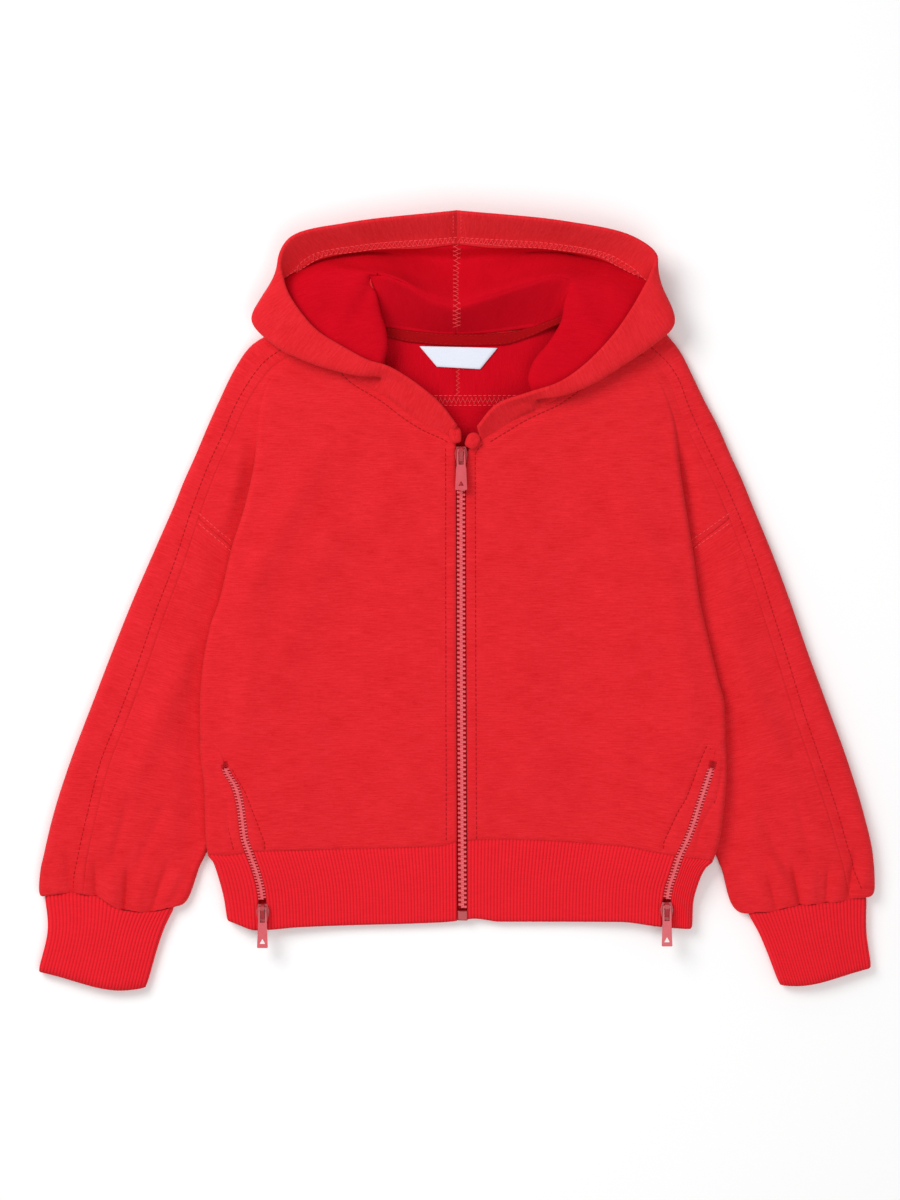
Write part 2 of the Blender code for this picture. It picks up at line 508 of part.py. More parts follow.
def material(name, colour, roughness):
    """A plain Principled material, made once."""
    made = bpy.data.materials.get(name)
    if made is None:
        made = bpy.data.materials.new(name)
        made.use_nodes = True
        shader = made.node_tree.nodes["Principled BSDF"]
        shader.inputs["Base Color"].default_value = (*colour, 1.0)
        shader.inputs["Roughness"].default_value = roughness
    return made


def fleece():
    return material("fleece_jersey", CLOTH_RED, 0.9)


def rib_knit():
    return material("rib_knit", RIB_RED, 0.85)


def tape_cloth():
    return material("woven_tape", TAPE_RED, 0.8)


def zip_plastic():
    return material("zip_plastic", ZIP_RED, 0.35)


def label_cloth():
    return material("label_satin", LABEL_WHITE, 0.6)


def new_object(name, points, faces, looks, collection):
    """An object from points in millimetres and faces as rows of indices."""
    mesh = bpy.data.meshes.new(name)
    mesh.from_pydata([tuple(point) for point in np.asarray(points) * MM], [], [tuple(f) for f in faces])
    mesh.materials.append(looks)
    mesh.shade_smooth()
    mesh.set_sharp_from_angle(angle=math.radians(50))
    made = bpy.data.objects.new(name, mesh)
    collection.objects.link(made)
    return made


def grid_faces(rows, columns):
    """Quads of a grid of rows x columns points, facing along (column step) x (row step)."""
    first = (np.arange(rows - 1)[:, None] * columns + np.arange(columns - 1)[None, :]).ravel()
    return np.column_stack([first, first + 1, first + columns + 1, first + columns])


def cloth(name, grid, thickness, looks, collection):
    """A wall round a grid of mid-surface points, an array of rows x columns x 3."""
    rows, columns = grid.shape[:2]
    made = new_object(name, grid.reshape(-1, 3), grid_faces(rows, columns), looks, collection)
    wall = made.modifiers.new("wall", "SOLIDIFY")
    wall.thickness = thickness * MM
    wall.offset = 0.0


def face_up(grid, inward=False):
    """The grid with its columns reversed where its first cell faces down."""
    across = grid[0, 1] - grid[0, 0]
    along = grid[1, 0] - grid[0, 0]
    return grid if (np.cross(across, along)[2] > 0) != inward else grid[:, ::-1]


def normals(grid):
    """Unit normals of a grid, along (column step) x (row step)."""
    out = np.cross(np.gradient(grid, axis=1), np.gradient(grid, axis=0))
    return out / (np.linalg.norm(out, axis=2, keepdims=True) + 1e-12)


def wall_faces(rows, columns, kept, closed):
    """Faces of a wall with a fine outer grid and an inner grid that keeps only some columns.

    The inner points follow the outer ones. Where the wall is `closed` its columns run all round."""
    total, few = rows * columns, len(kept)
    steps = [(a, b) for a, b in zip(kept, kept[1:])] + ([(kept[-1], columns)] if closed else [])
    faces = []
    for row in range(rows - 1):
        low, high = row * columns, (row + 1) * columns
        for here in range(columns if closed else columns - 1):
            ahead = (here + 1) % columns
            faces.append((low + here, low + ahead, high + ahead, high + here))
        low, high = total + row * few, total + (row + 1) * few
        for here in range(len(steps)):
            ahead = (here + 1) % few
            faces.append((high + here, high + ahead, low + ahead, low + here))
    last = (rows - 1) * columns
    for index, (start, end) in enumerate(steps):
        ahead = (index + 1) % few
        stretch = [at % columns for at in range(start, end + 1)]
        faces.append(tuple(stretch[::-1]) + (total + index, total + ahead))
        inner = total + (rows - 1) * few
        faces.append(tuple(last + at for at in stretch) + (inner + ahead, inner + index))
    if not closed:
        for row in range(rows - 1):
            low, high = row * columns, (row + 1) * columns
            inner, upper = total + row * few, total + (row + 1) * few
            faces.append((low, high, upper, inner))
            faces.append((high + columns - 1, low + columns - 1, inner + few - 1, upper + few - 1))
    return faces


def ribbed(name, grid, thickness, raised, kept, collection, closed=False):
    """A rib-knit wall whose outer points are raised on every second column, over a plain inside.

    `raised` is 1 where the ribs show and 0 where the piece lies on the surface below; `kept` lists
    the columns that the plain inside keeps."""
    rows, columns = grid.shape[:2]
    wrapped = np.concatenate([grid[:, -1:], grid, grid[:, :1]], axis=1) if closed else grid
    out = normals(wrapped)[:, 1:-1] if closed else normals(grid)
    out *= np.sign(out[0, np.argmax(grid[0, :, 2]), 2])
    ridge = RIB_DEPTH * (np.arange(columns) % 2 - 0.5) * raised
    outer = grid + out * (thickness / 2 + ridge)[None, :, None]
    inner = (grid - out * thickness / 2)[:, kept]
    points = np.vstack([outer.reshape(-1, 3), inner.reshape(-1, 3)])
    made = new_object(name, points, wall_faces(rows, columns, kept, closed), rib_knit(), collection)
    turn_outwards(made.data)


def turn_outwards(mesh):
    """Flips a closed mesh whose volume comes out negative."""
    mesh.calc_loop_triangles()
    corners = np.array([[mesh.vertices[v].co for v in t.vertices] for t in mesh.loop_triangles])
    if np.einsum("ij,ij->i", corners[:, 0], np.cross(corners[:, 1], corners[:, 2])).sum() < 0:
        mesh.flip_normals()


# ---------------------------------------------------------------- cloth pieces

def shoulder_rows(side):
    """Heights of the front panel's rows beside the over-arm strip."""
    return [row[0] for row in SHOULDER[side]][::-1][1:]


def build_front(side, collection):
    """Front panel: zip edge to side zip, and above the armhole out to the over-arm strip."""
    rows = sorted(BODY_ROWS + UPPER_ROWS + shoulder_rows(side) + NECK_ROWS)
    grid = np.array([front_row(side, y) for y in rows])
    cloth(f"front_panel_{side}", face_up(grid), FLEECE, fleece(), collection)


def build_back(collection):
    """Back panel, from side zip to side zip round the folds, up to the yoke."""
    grid = np.array([back_row(y, BACK_POINTS) for y in BODY_ROWS + BACK_ROWS])
    cloth("back_panel", face_up(grid, inward=True), FLEECE, fleece(), collection)


def rib_columns(width):
    """Column count for a ribbed stretch: two for each rib."""
    return 2 * int(round(width / RIB_PITCH)) + 1


def build_hem_ribs(collection):
    """Hem rib: two fronts and a back, with ribs raised where they show."""
    columns = rib_columns(FRONT_RIB_WIDTH)
    for side in SIDES:
        grid = []
        for y in HEM_ROWS:
            path, fold_run = loop_path(side, y)
            cut, gap = seam_place(side, y, path, fold_run)
            grid.append(place(side, steps_along(path, 0, cut - gap, columns, bend=0.0), y))
        kept = list(range(0, columns - 1, 8)) + [columns - 1]
        ribbed(f"hem_rib_front_{side}", np.array(grid), RIB, np.ones(columns), kept, collection)
    grid = []
    for y in HEM_ROWS:
        halves = []
        for side in SIDES:
            path, fold_run = loop_path(side, y)
            cut, gap = seam_place(side, y, path, fold_run)
            ribs_end = fold_run - RIBS_SHORT
            beside = steps_along(path, cut + gap, ribs_end, 2 * SIDE_RIBS + 1, bend=0.0)
            under = steps_along(path, ribs_end, lengths(path)[-1], UNDER_POINTS, bend=6.0)
            halves.append(place(side, np.vstack([beside, under[1:]]), y))
        grid.append(np.vstack([halves[0], halves[1][-2::-1]]))
    grid = np.array(grid)
    columns = grid.shape[1]
    ends = 2 * SIDE_RIBS
    raised = np.zeros(columns)
    raised[:ends] = 1
    raised[-ends:] = 1
    kept = list(range(0, ends, 4)) + list(range(ends, columns - ends))
    kept += list(range(columns - ends, columns, 4))
    if kept[-1] != columns - 1:
        kept.append(columns - 1)
    ribbed("hem_rib_back", grid, RIB, raised, kept, collection)


def sleeve_section(side, row, at_cuff, gathers):
    """A sleeve section as a closed run of points: from the front seam outwards, round and back.

    Where it is `at_cuff` it follows the cuff seam; `gathers` is the height of its waves."""
    seam_t, seam_y, edge_t, edge_y, inner_t, inner_y, outer_r, inner_r = row
    plan = np.array([(edge_t, edge_y), (seam_t, seam_y), (inner_t, inner_y)])
    run = lengths(plan)
    height = seam_height(seam_y)

    def top_at(u):
        z = ease([0, outer_r, run[1], run[1] * 0.45 + run[2] * 0.55, run[2] - inner_r, run[2]],
                 [FLOOR + 2 * outer_r - 0.3, FLOOR + 2 * outer_r, height, height * 0.96,
                  FLOOR + 2 * inner_r, FLOOR + 2 * inner_r], u)
        t = np.interp(u, run, plan[:, 0])
        y = np.interp(u, run, plan[:, 1])
        wave = gathers * np.sin(9 * np.pi * u / run[2]) * np.sin(np.pi * u / run[2])
        return pressed(side, t, y, z) + wave

    half = FLEECE / 2
    strip_top = np.linspace(run[1], half + outer_r, 4)
    outer = arc((half + outer_r, FLOOR + outer_r), outer_r, math.pi / 2, math.pi, 6)
    strip_low = np.linspace(half + outer_r, run[1], 3)[1:]
    inner_low = np.linspace(run[1], run[2] - half - inner_r, 7)[1:]
    inner = arc((run[2] - half - inner_r, FLOOR + inner_r), inner_r, -math.pi / 2, math.pi, 6)
    front_low = np.linspace(run[2] - half - inner_r, run[1], 15)[1:]
    u = np.concatenate([strip_top, outer[:, 0], strip_low, inner_low, inner[:, 0], front_low])
    z = np.concatenate([top_at(strip_top), outer[:, 1], np.full(2, FLOOR), np.full(6, FLOOR),
                        inner[:, 1], top_at(front_low)])
    t = np.interp(u, run, plan[:, 0])
    y = column(CUFF_SEAM[side], 0, 1, t) if at_cuff else np.interp(u, run, plan[:, 1])
    return np.column_stack([SIDES[side] * t, y, z])


def trimmed(grid, first, last, gap=SEAM):
    """A grid whose first and last columns are drawn in by a gap, where asked."""
    grid = grid.copy()
    for wanted, edge, beside in ((first, 0, 1), (last, -1, -2)):
        if wanted:
            inward = grid[:, beside] - grid[:, edge]
            grid[:, edge] += inward / np.linalg.norm(inward, axis=1, keepdims=True) * gap
    return grid


def sleeve_grid(side):
    """All the sleeve's sections below the armhole, drawn in at both ends of the sleeve."""
    gathers = [0.0] * (len(SLEEVE[side]) - 2) + GATHERS
    return np.array([sleeve_section(side, row, row is SLEEVE[side][-1], height)
                     for row, height in zip(SLEEVE[side], gathers)])


def shoulder_section(side, front, fold, back, radius, turn=180):
    """A strip section on the shoulder: front seam, round the outer fold, to the back seam.

    Where `turn` (degrees) is under 180 the strip has only begun to turn up at the neck."""
    front, fold, back = np.array(front, float), np.array(fold, float), np.array(back, float)
    outward = fold - front[:2]
    outward /= np.linalg.norm(outward)
    centre = fold - outward * (radius + FLEECE / 2)
    top_end = np.append(centre, FLOOR + 2 * radius)
    top = np.array([front + (top_end - front) * u for u in np.linspace(0, 1, 4)])
    angle = math.radians(turn)
    bend = arc((0, FLOOR + radius), radius, angle - math.pi / 2, -angle, 6)
    if turn < 180:
        tip = arc((0, FLOOR + radius), radius, angle - math.pi / 2, 0, 1)[0]
        tangent = np.array([math.cos(angle), math.sin(angle)])
        raised = np.array([tip + tangent * NECK_TURN_UP * (1 - u) for u in np.linspace(0, 1, 4)])
        top = np.column_stack([centre[0] + outward[0] * raised[:, 0], centre[1] + outward[1] * raised[:, 0],
                               raised[:, 1]])
    curl = np.column_stack([centre[0] + outward[0] * bend[:, 0], centre[1] + outward[1] * bend[:, 0],
                            bend[:, 1]])
    low = np.array([np.append(centre + (back - centre) * u, FLOOR) for u in (0.5, 1.0)])
    points = np.vstack([top, curl, low])
    points[:, 0] *= SIDES[side]
    return points


def yoke_section(side, neck, low, crowd):
    """A yoke section from the neckline down to the back seam, its points crowded to the neck."""
    even = np.arange(STRIP_END + 1) / STRIP_END
    share = even * (1 - crowd) + np.interp(even * STRIP_END, [0, 9, 10, 11], [0, 0.09, 0.5, 1]) * crowd
    line = np.array(neck)[None, :] + (np.append(low, FLOOR) - neck)[None, :] * share[:, None]
    line[:, 2] = FLOOR + (neck[2] - FLOOR) * np.clip(1 - share * 4, 0, 1) ** 2
    line[:, 0] *= SIDES[side]
    return line


def build_over_arm(side, collection):
    """Over-arm strip with its half of the yoke: centre back, over the shoulder, down to the cuff."""
    rows = [yoke_section(side, np.array(row[:3], float), np.array(row[3:5], float), row[5])
            for row in YOKE[side]]
    rows += [shoulder_section(side, row[:3], row[3:5], row[5:7], row[7], row[8]) for row in NECK_SIDE[side]]
    for shoulder, back in zip(SHOULDER[side][:-1], BACK_SEAM[side][:-1]):
        seam_y, seam_t, edge_t, edge_y = shoulder
        rows.append(shoulder_section(side, (seam_t, seam_y, seam_height(seam_y)), (edge_t, edge_y),
                                     back, 4.0))
    grid = np.vstack([np.array(rows), sleeve_grid(side)[:, :STRIP_END + 1]])
    grid = trimmed(grid, True, True)
    cloth(f"over_arm_{side}", face_up(grid[::-1]), FLEECE, fleece(), collection)


def build_sleeve(side, collection):
    """Sleeve front and back, sewn to the strip, to each other under the arm and to the armhole."""
    grid = sleeve_grid(side)
    along = grid[1] - grid[0]
    grid[0] += along / np.linalg.norm(along, axis=1, keepdims=True) * ARMHOLE_INSET
    back = trimmed(grid[:, STRIP_END:FOLD_MIDDLE + 1], True, True)
    front = trimmed(grid[:, FOLD_MIDDLE:], True, True)
    cloth(f"sleeve_back_{side}", face_up(back, inward=True), FLEECE, fleece(), collection)
    cloth(f"sleeve_front_{side}", face_up(front[:, ::-1]), FLEECE, fleece(), collection)


def build_cuff(side, collection):
    """Rib cuff: a flattened tube with its ribs raised on the upper face."""
    rows = []
    for index, (edge_t, edge_y, inner_t, inner_y, sway) in enumerate(CUFF[side]):
        width = math.hypot(edge_t - inner_t, edge_y - inner_y)
        reach = RIB / 2 + CUFF_RADIUS
        top = np.linspace(reach, width - reach, 2 * CUFF_RIBS + 1)
        turn = arc((width - reach, reach), CUFF_RADIUS, math.pi / 2, -math.pi, 6)
        low = np.linspace(width - reach, reach, 9)[1:]
        close = arc((reach, reach), CUFF_RADIUS, -math.pi / 2, -math.pi, 6)[:-1]
        dome = reach + CUFF_RADIUS + CUFF_DOME * np.sin(np.pi * (top - reach) / (width - 2 * reach))
        u = np.concatenate([top, turn[:, 0], low, close[:, 0]]) / width
        z = np.concatenate([dome, turn[:, 1], np.full(8, RIB / 2), close[:, 1]])
        t = edge_t + (inner_t - edge_t) * u
        if index == 0:
            y = column(CUFF_SEAM[side], 0, 1, t) - 3 * SEAM
        else:
            y = edge_y + (inner_y - edge_y) * u + sway * np.sin(np.pi * np.clip(u, 0, 1) ** 1.6)
        rows.append(np.column_stack([SIDES[side] * t, y, z]))
    ring = np.array(rows)
    raised = np.zeros(ring.shape[1])
    raised[:2 * CUFF_RIBS + 1] = 1
    kept = list(range(0, 2 * CUFF_RIBS, 8)) + list(range(2 * CUFF_RIBS, ring.shape[1]))
    ribbed(f"cuff_{side}", ring, RIB, raised, kept, collection, closed=True)


# ---------------------------------------------------------------- hood

def rolled(before, place_at, after, radius):
    """Three points where a section turns over: before, at and after the roll's outermost point."""
    into = (place_at - before)[:2]
    away = (after - place_at)[:2]
    into = into / (np.linalg.norm(into) + 1e-9)
    away = away / (np.linalg.norm(away) + 1e-9)
    doubled = (1 - float(into @ away)) / 2
    low = place_at - np.append(into * radius, radius * doubled)
    high = place_at + np.append(away * radius, radius * doubled)
    return [low, place_at, high]


def hood_section(row, spans):
    """One hood section as x, y, z points: neck seam, roll, lobe or valley, outer edge, rim."""
    neck, roll, lobe, edge, rim = row
    neck, rim = np.array(neck, float), np.array(rim, float)
    if roll is None:
        points = [neck + (rim - neck) * share for share in (0, 0.25, 0.33, 0.41, 0.5, 0.6, 0.68, 0.76, 1)]
    else:
        roll, lobe, edge = (np.array(point, float) for point in (roll, lobe, edge))
        points = ([neck] + rolled(neck, roll, lobe, HOOD_TURN) + [lobe]
                  + rolled(lobe, edge, rim, HOOD_TURN) + [rim])
    return through(points, spans)


def hood_grid(side, spans, between):
    """The hood half's mid-surface: its table's sections, with `between` more in each step."""
    sections = np.array([hood_section(row, spans) for row in HOOD[side]])
    columns = [through(sections[:, index], [between] * (len(sections) - 1))
               for index in range(sections.shape[1])]
    grid = np.stack(columns, axis=1)
    grid[:, :, 0] *= SIDES[side]
    return grid


def build_hood(side, collection):
    """Hood half, from the zip round to its centre back seam."""
    grid = hood_grid(side, HOOD_SPANS, 2)
    cloth(f"hood_{side}", face_up(grid[:, ::-1]), FLEECE, fleece(), collection)


def build_hood_hem(side, collection):
    """The hood's turned-in hem: a strip on the inside along its opening, moved in from the hood."""
    grid = hood_grid(side, HOOD_SPANS, 2)
    inward = normals(grid) * SIDES[side] * (FLEECE / 2 + HEM_GAP + TURNED / 2)
    fold = grid.shape[1] - 1 - HOOD_SPANS[-1]
    rows = []
    for points, moved in list(zip(grid[:, ::-1], (grid + inward)[:, ::-1]))[HEM_FROM:]:
        run = lengths(points)
        band = run[grid.shape[1] - 1 - fold]
        width = min(HOOD_HEM, band * 0.65) if band > 9 else run[-1] * 0.45
        at = np.linspace(0.9, width, 3)
        rows.append(np.column_stack([np.interp(at, run, moved[:, axis]) for axis in range(3)]))
    cloth(f"hood_hem_{side}", face_up(np.array(rows)), TURNED, fleece(), collection)


def build_neck_tape(collection):
    """Tape over the back neck seam, inside, and the bare white label under it."""
    height = FLEECE + CLEAR + TURNED / 2
    x = np.linspace(-TAPE_LENGTH / 2, TAPE_LENGTH / 2, 13)
    dip = 180.7 + 3.8 * (2 * np.abs(x) / TAPE_LENGTH) ** 1.6
    upper = np.column_stack([x, dip, np.full(13, height)])
    lower = upper - [0, TAPE_DROP, 0]
    cloth("neck_tape", face_up(np.array([lower, upper])), TURNED, tape_cloth(), collection)
    corners = [(x, y, height - 0.2) for x, y in LABEL_CORNERS]
    label = np.array([[corners[3], corners[2]], [corners[0], corners[1]]])
    cloth("neck_label", face_up(label), LABEL_THICK, label_cloth(), collection)


# ---------------------------------------------------------------- zips

def sweep_bar(name, path, across, width, thick, looks, collection):
    """A bar of rectangular section along a path; `across` is its unit width direction at each point."""
    path, across = np.asarray(path, float), np.asarray(across, float)
    along = np.gradient(path, axis=0)
    up = np.cross(across, along)
    up /= np.linalg.norm(up, axis=1, keepdims=True)
    up *= np.sign(up[:, 2:3])
    corners = np.stack([path + across * u * width / 2 + up * w * thick / 2
                        for u, w in ((-1, -1), (1, -1), (1, 1), (-1, 1))], axis=1)
    rows = len(path)
    faces = [(r * 4 + c, r * 4 + (c + 1) % 4, (r + 1) * 4 + (c + 1) % 4, (r + 1) * 4 + c)
             for r in range(rows - 1) for c in range(4)]
    faces += [(3, 2, 1, 0), tuple(range(4 * rows - 4, 4 * rows))]
    made = new_object(name, corners.reshape(-1, 3), faces, looks, collection)
    turn_outwards(made.data)


def main_zip_line(rows):
    """The main chain's centre line on the front's top layer."""
    x = column(MAIN_ZIP, 0, 1, rows)
    z = column(LAYERS, 0, 1, rows)
    return np.column_stack([x, rows, z])


def side_zip_line(side, rows):
    """A side chain's centre line and its across directions, on the body's own sections."""
    points, across = [], []
    for y in rows:
        path, fold_run = loop_path(side, y)
        cut, _ = seam_place(side, y, path, fold_run)
        run = lengths(path)
        near = [[np.interp(cut + step, run, path[:, axis]) for axis in (0, 1)] for step in (-3, 0, 3)]
        spots = place(side, np.array(near), y)
        points.append(spots[1])
        across.append((spots[2] - spots[0]) / np.linalg.norm(spots[2] - spots[0]))
    return np.array(points), np.array(across)


def box(name, centre, size, turn, tilt, looks, collection):
    """A box with rounded corners, turned about Z and tilted about its own X."""
    bpy.ops.mesh.primitive_cube_add(size=1, location=tuple(np.array(centre) * MM),
                                    rotation=(tilt, 0, turn))
    made = bpy.context.object
    made.name = name
    made.scale = tuple(np.array(size) * MM)
    bpy.ops.object.transform_apply(location=False, rotation=False, scale=True)
    made.data.materials.append(looks)
    corners = made.modifiers.new("corners", "BEVEL")
    corners.width = CORNER * MM
    corners.segments = 2
    for other in list(made.users_collection):
        other.objects.unlink(made)
    collection.objects.link(made)


def slider(name, centre, turn, tilt, collection):
    """Zip slider: a flat body over the chain with a bridge that carries the pull.

    The body lies on the chain's top; its bridge is an arch whose hole runs across the zip."""
    body_width, body_length, body_thick = SLIDER_SIZE
    outline = [(body_width * across, body_length * along) for across, along in SLIDER_OUTLINE]
    plate = extruded(name, [outline], 0, body_thick)
    bridge = extruded(name + "_bridge", [BRIDGE], -BRIDGE_WIDTH / 2, BRIDGE_WIDTH / 2)
    bridge.rotation_euler = (math.pi / 2, 0, math.pi / 2)
    bpy.context.view_layer.update()
    joined = weld(name, [plate, bridge], zip_plastic(), collection)
    joined.location = tuple(np.array(centre) * MM)
    joined.rotation_euler = (tilt, 0, turn)


def extruded(name, outlines, low, high):
    """A flat outline, with holes, given its thickness: a filled 2D curve made into a mesh."""
    curve = bpy.data.curves.new(name, "CURVE")
    curve.dimensions = "2D"
    curve.fill_mode = "BOTH"
    curve.extrude = (high - low) / 2 * MM
    curve.resolution_u = 1
    curve.render_resolution_u = 0
    for outline in outlines:
        spline = curve.splines.new("POLY")
        spline.points.add(len(outline) - 1)
        for point, (x, y) in zip(spline.points, outline):
            point.co = (x * MM, y * MM, 0, 1)
        spline.use_cyclic_u = True
    guide = bpy.data.objects.new(name, curve)
    bpy.context.scene.collection.objects.link(guide)
    bpy.context.view_layer.update()
    mesh = bpy.data.meshes.new_from_object(guide.evaluated_get(bpy.context.evaluated_depsgraph_get()))
    bpy.data.objects.remove(guide)
    made = bpy.data.objects.new(name, mesh)
    bpy.context.scene.collection.objects.link(made)
    close_caps(mesh)
    for vertex in mesh.vertices:
        vertex.co.z += (high + low) / 2 * MM
    return made


def close_caps(mesh):
    """Joins a filled curve's caps to its sides."""
    shape = bmesh.new()
    shape.from_mesh(mesh)
    bmesh.ops.remove_doubles(shape, verts=shape.verts, dist=1e-6)
    bmesh.ops.recalc_face_normals(shape, faces=shape.faces)
    shape.to_mesh(mesh)
    shape.free()


def weld(name, pieces, looks, collection):
    """One solid from overlapping pieces, by Boolean union, with its modifiers applied."""
    base = pieces[0]
    for piece in pieces[1:]:
        union = base.modifiers.new("union", "BOOLEAN")
        union.operation = "UNION"
        union.solver = "EXACT"
        union.object = piece
    bpy.context.view_layer.update()
    mesh = bpy.data.meshes.new_from_object(base.evaluated_get(bpy.context.evaluated_depsgraph_get()))
    for piece in pieces:
        bpy.data.objects.remove(piece)
    mesh.name = name
    mesh.materials.clear()
    mesh.materials.append(looks)
    made = bpy.data.objects.new(name, mesh)
    collection.objects.link(made)
    return made


def rounded(points, corner, steps=3):
    """An outline with its corners cut round."""
    points = np.array(points, float)
    out = []
    for index, point in enumerate(points):
        before = points[index - 1] - point
        after = points[(index + 1) % len(points)] - point
        start = point + before / np.linalg.norm(before) * corner
        end = point + after / np.linalg.norm(after) * corner
        for step in range(steps):
            u = step / (steps - 1)
            out.append(tuple(start * (1 - u) ** 2 + 2 * point * u * (1 - u) + end * u ** 2))
    return out


def pull(name, centre, turn, tilt, plate_width, collection):
    """Pull tab: a window whose bar lies in the slider's arch, and a plate with a triangular hole.

    Its own origin is on the hinge axis, with the tab towards -Y."""
    half = plate_width / 2
    outline = rounded([(-2.6, 0.8), (2.6, 0.8), (3.0, -10.5), (half - 0.6, -12), (half, -26.5),
                       (-half, -26.5), (-half + 0.6, -12), (-3.0, -10.5)], 0.7)
    window = rounded([(-1.75, -0.8), (-1.75, -9.6), (1.75, -9.6), (1.75, -0.8)], 0.4)
    hole = rounded([(-1.9, -23.8), (1.9, -23.8), (0.0, -20.2)], 0.6)
    made = extruded(name, [outline, window, hole], -PULL_THICK / 2, PULL_THICK / 2)
    tab = weld(name, [made], zip_plastic(), collection)
    tab.location = tuple(np.array(centre) * MM)
    tab.rotation_euler = (tilt, 0, turn)


def add_slider_and_pull(name, centre, turn, tilt, rest, plate_width, collection):
    """A slider whose underside is at `centre`, with its pull resting at `rest` degrees."""
    slider(f"{name}_slider", centre, turn, tilt, collection)
    direction = np.array([-math.sin(turn), math.cos(turn) * math.cos(tilt), math.sin(tilt)])
    up = np.array([math.sin(turn) * math.sin(tilt), -math.cos(turn) * math.sin(tilt), math.cos(tilt)])
    pivot = np.array(centre) + direction * PIVOT_Y + up * PIVOT_Z
    pull(f"{name}_pull", pivot, turn, tilt + math.radians(rest), plate_width, collection)


def build_main_zip(collection):
    """Main zip: tapes under the front edges, moulded chain, slider and pull, box, turned-in tape ends."""
    rows = np.linspace(-206, 96, 12)
    line = main_zip_line(rows)
    sideways = np.tile([1.0, 0.0, 0.0], (len(rows), 1))
    depth = FLEECE / 2 + CLEAR + TAPE_THICK / 2 + 0.2
    for side, sign in SIDES.items():
        centre = line + np.array([sign * MAIN_TAPE[0], 0, -depth])
        sweep_bar(f"zip_tape_{side}", centre, sideways, MAIN_TAPE[1], TAPE_THICK, tape_cloth(), collection)
    chain_rise = -depth + TAPE_THICK / 2 + CLEAR + CHAIN_THICK / 2
    chain = main_zip_line(np.linspace(-204.5, MAIN_ZIP_TOP - 0.5, 12)) + np.array([0, 0, chain_rise])
    sweep_bar("zip_chain", chain, sideways, CHAIN_WIDTH, CHAIN_THICK, zip_plastic(), collection)
    foot = main_zip_line(np.array([-208.4]))[0] + np.array([0, 0, chain_rise])
    box("zip_box", foot, ZIP_BOX_SIZE, 0, 0, zip_plastic(), collection)
    box("zip_top_L", (1.3, 112.8, 12.0), (3.6, 10.4, 3.0), 0.12, 0.1, fleece(), collection)
    box("zip_top_R", (11.5, 109.4, 11.75), (5.4, 9.6, 3.2), 0.2, 0.0, fleece(), collection)
    seat = main_zip_line(np.array([MAIN_SLIDER_Y]))[0] + np.array([0, 0, FLEECE / 2 + 0.75])
    add_slider_and_pull("zip", seat, 0.0, 0.0, PULL_REST, 8.0, collection)


def build_side_zip(side, collection):
    """Side zip: tape, chain up to the side seam, slider at the hem with its pull hanging past it."""
    rows = [HEM_END_Y + 3, SIDE_SLIDER_Y + 8, -190, -165.1] + BODY_ROWS[:3] + [-113.5]
    line, across = side_zip_line(side, rows)
    along = np.gradient(line, axis=0)
    up = np.cross(across, along)
    up *= np.sign(up[:, 2:3]) / np.linalg.norm(up, axis=1, keepdims=True)
    depth = RIB / 2 + CLEAR + TAPE_THICK / 2 + 0.25
    sweep_bar(f"side_zip_tape_{side}", line - up * depth, across, SIDE_TAPE_WIDTH, TAPE_THICK, tape_cloth(),
              collection)
    line, across = side_zip_line(side, [SIDE_SLIDER_Y + 8, -190, -165.1] + BODY_ROWS[:3] + [-113.5])
    along = np.gradient(line, axis=0)
    up = np.cross(across, along)
    up *= np.sign(up[:, 2:3]) / np.linalg.norm(up, axis=1, keepdims=True)
    rise = -depth + TAPE_THICK / 2 + CLEAR + CHAIN_THICK / 2
    sweep_bar(f"side_zip_chain_{side}", line + up * rise, across, CHAIN_WIDTH, CHAIN_THICK, zip_plastic(),
              collection)
    spot = side_zip_line(side, [SIDE_SLIDER_Y])[0][0] + np.array([0, 0, RIB / 2 + 0.9])
    add_slider_and_pull(f"side_zip_{side}", spot, 0.0, 0.0, PULL_REST, 7.2, collection)


def main():
    """Builds the whole garment."""
    for old in list(bpy.data.objects):
        bpy.data.objects.remove(old)
    parts = bpy.data.collections.new("zip_up_jacket")
    bpy.context.scene.collection.children.link(parts)
    for side in SIDES:
        build_front(side, parts)
        build_over_arm(side, parts)
        build_sleeve(side, parts)
        build_cuff(side, parts)
        build_hood(side, parts)
        build_hood_hem(side, parts)
        build_side_zip(side, parts)
    build_back(parts)
    build_hem_ribs(parts)
    build_neck_tape(parts)
    build_main_zip(parts)


main()
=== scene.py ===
import math

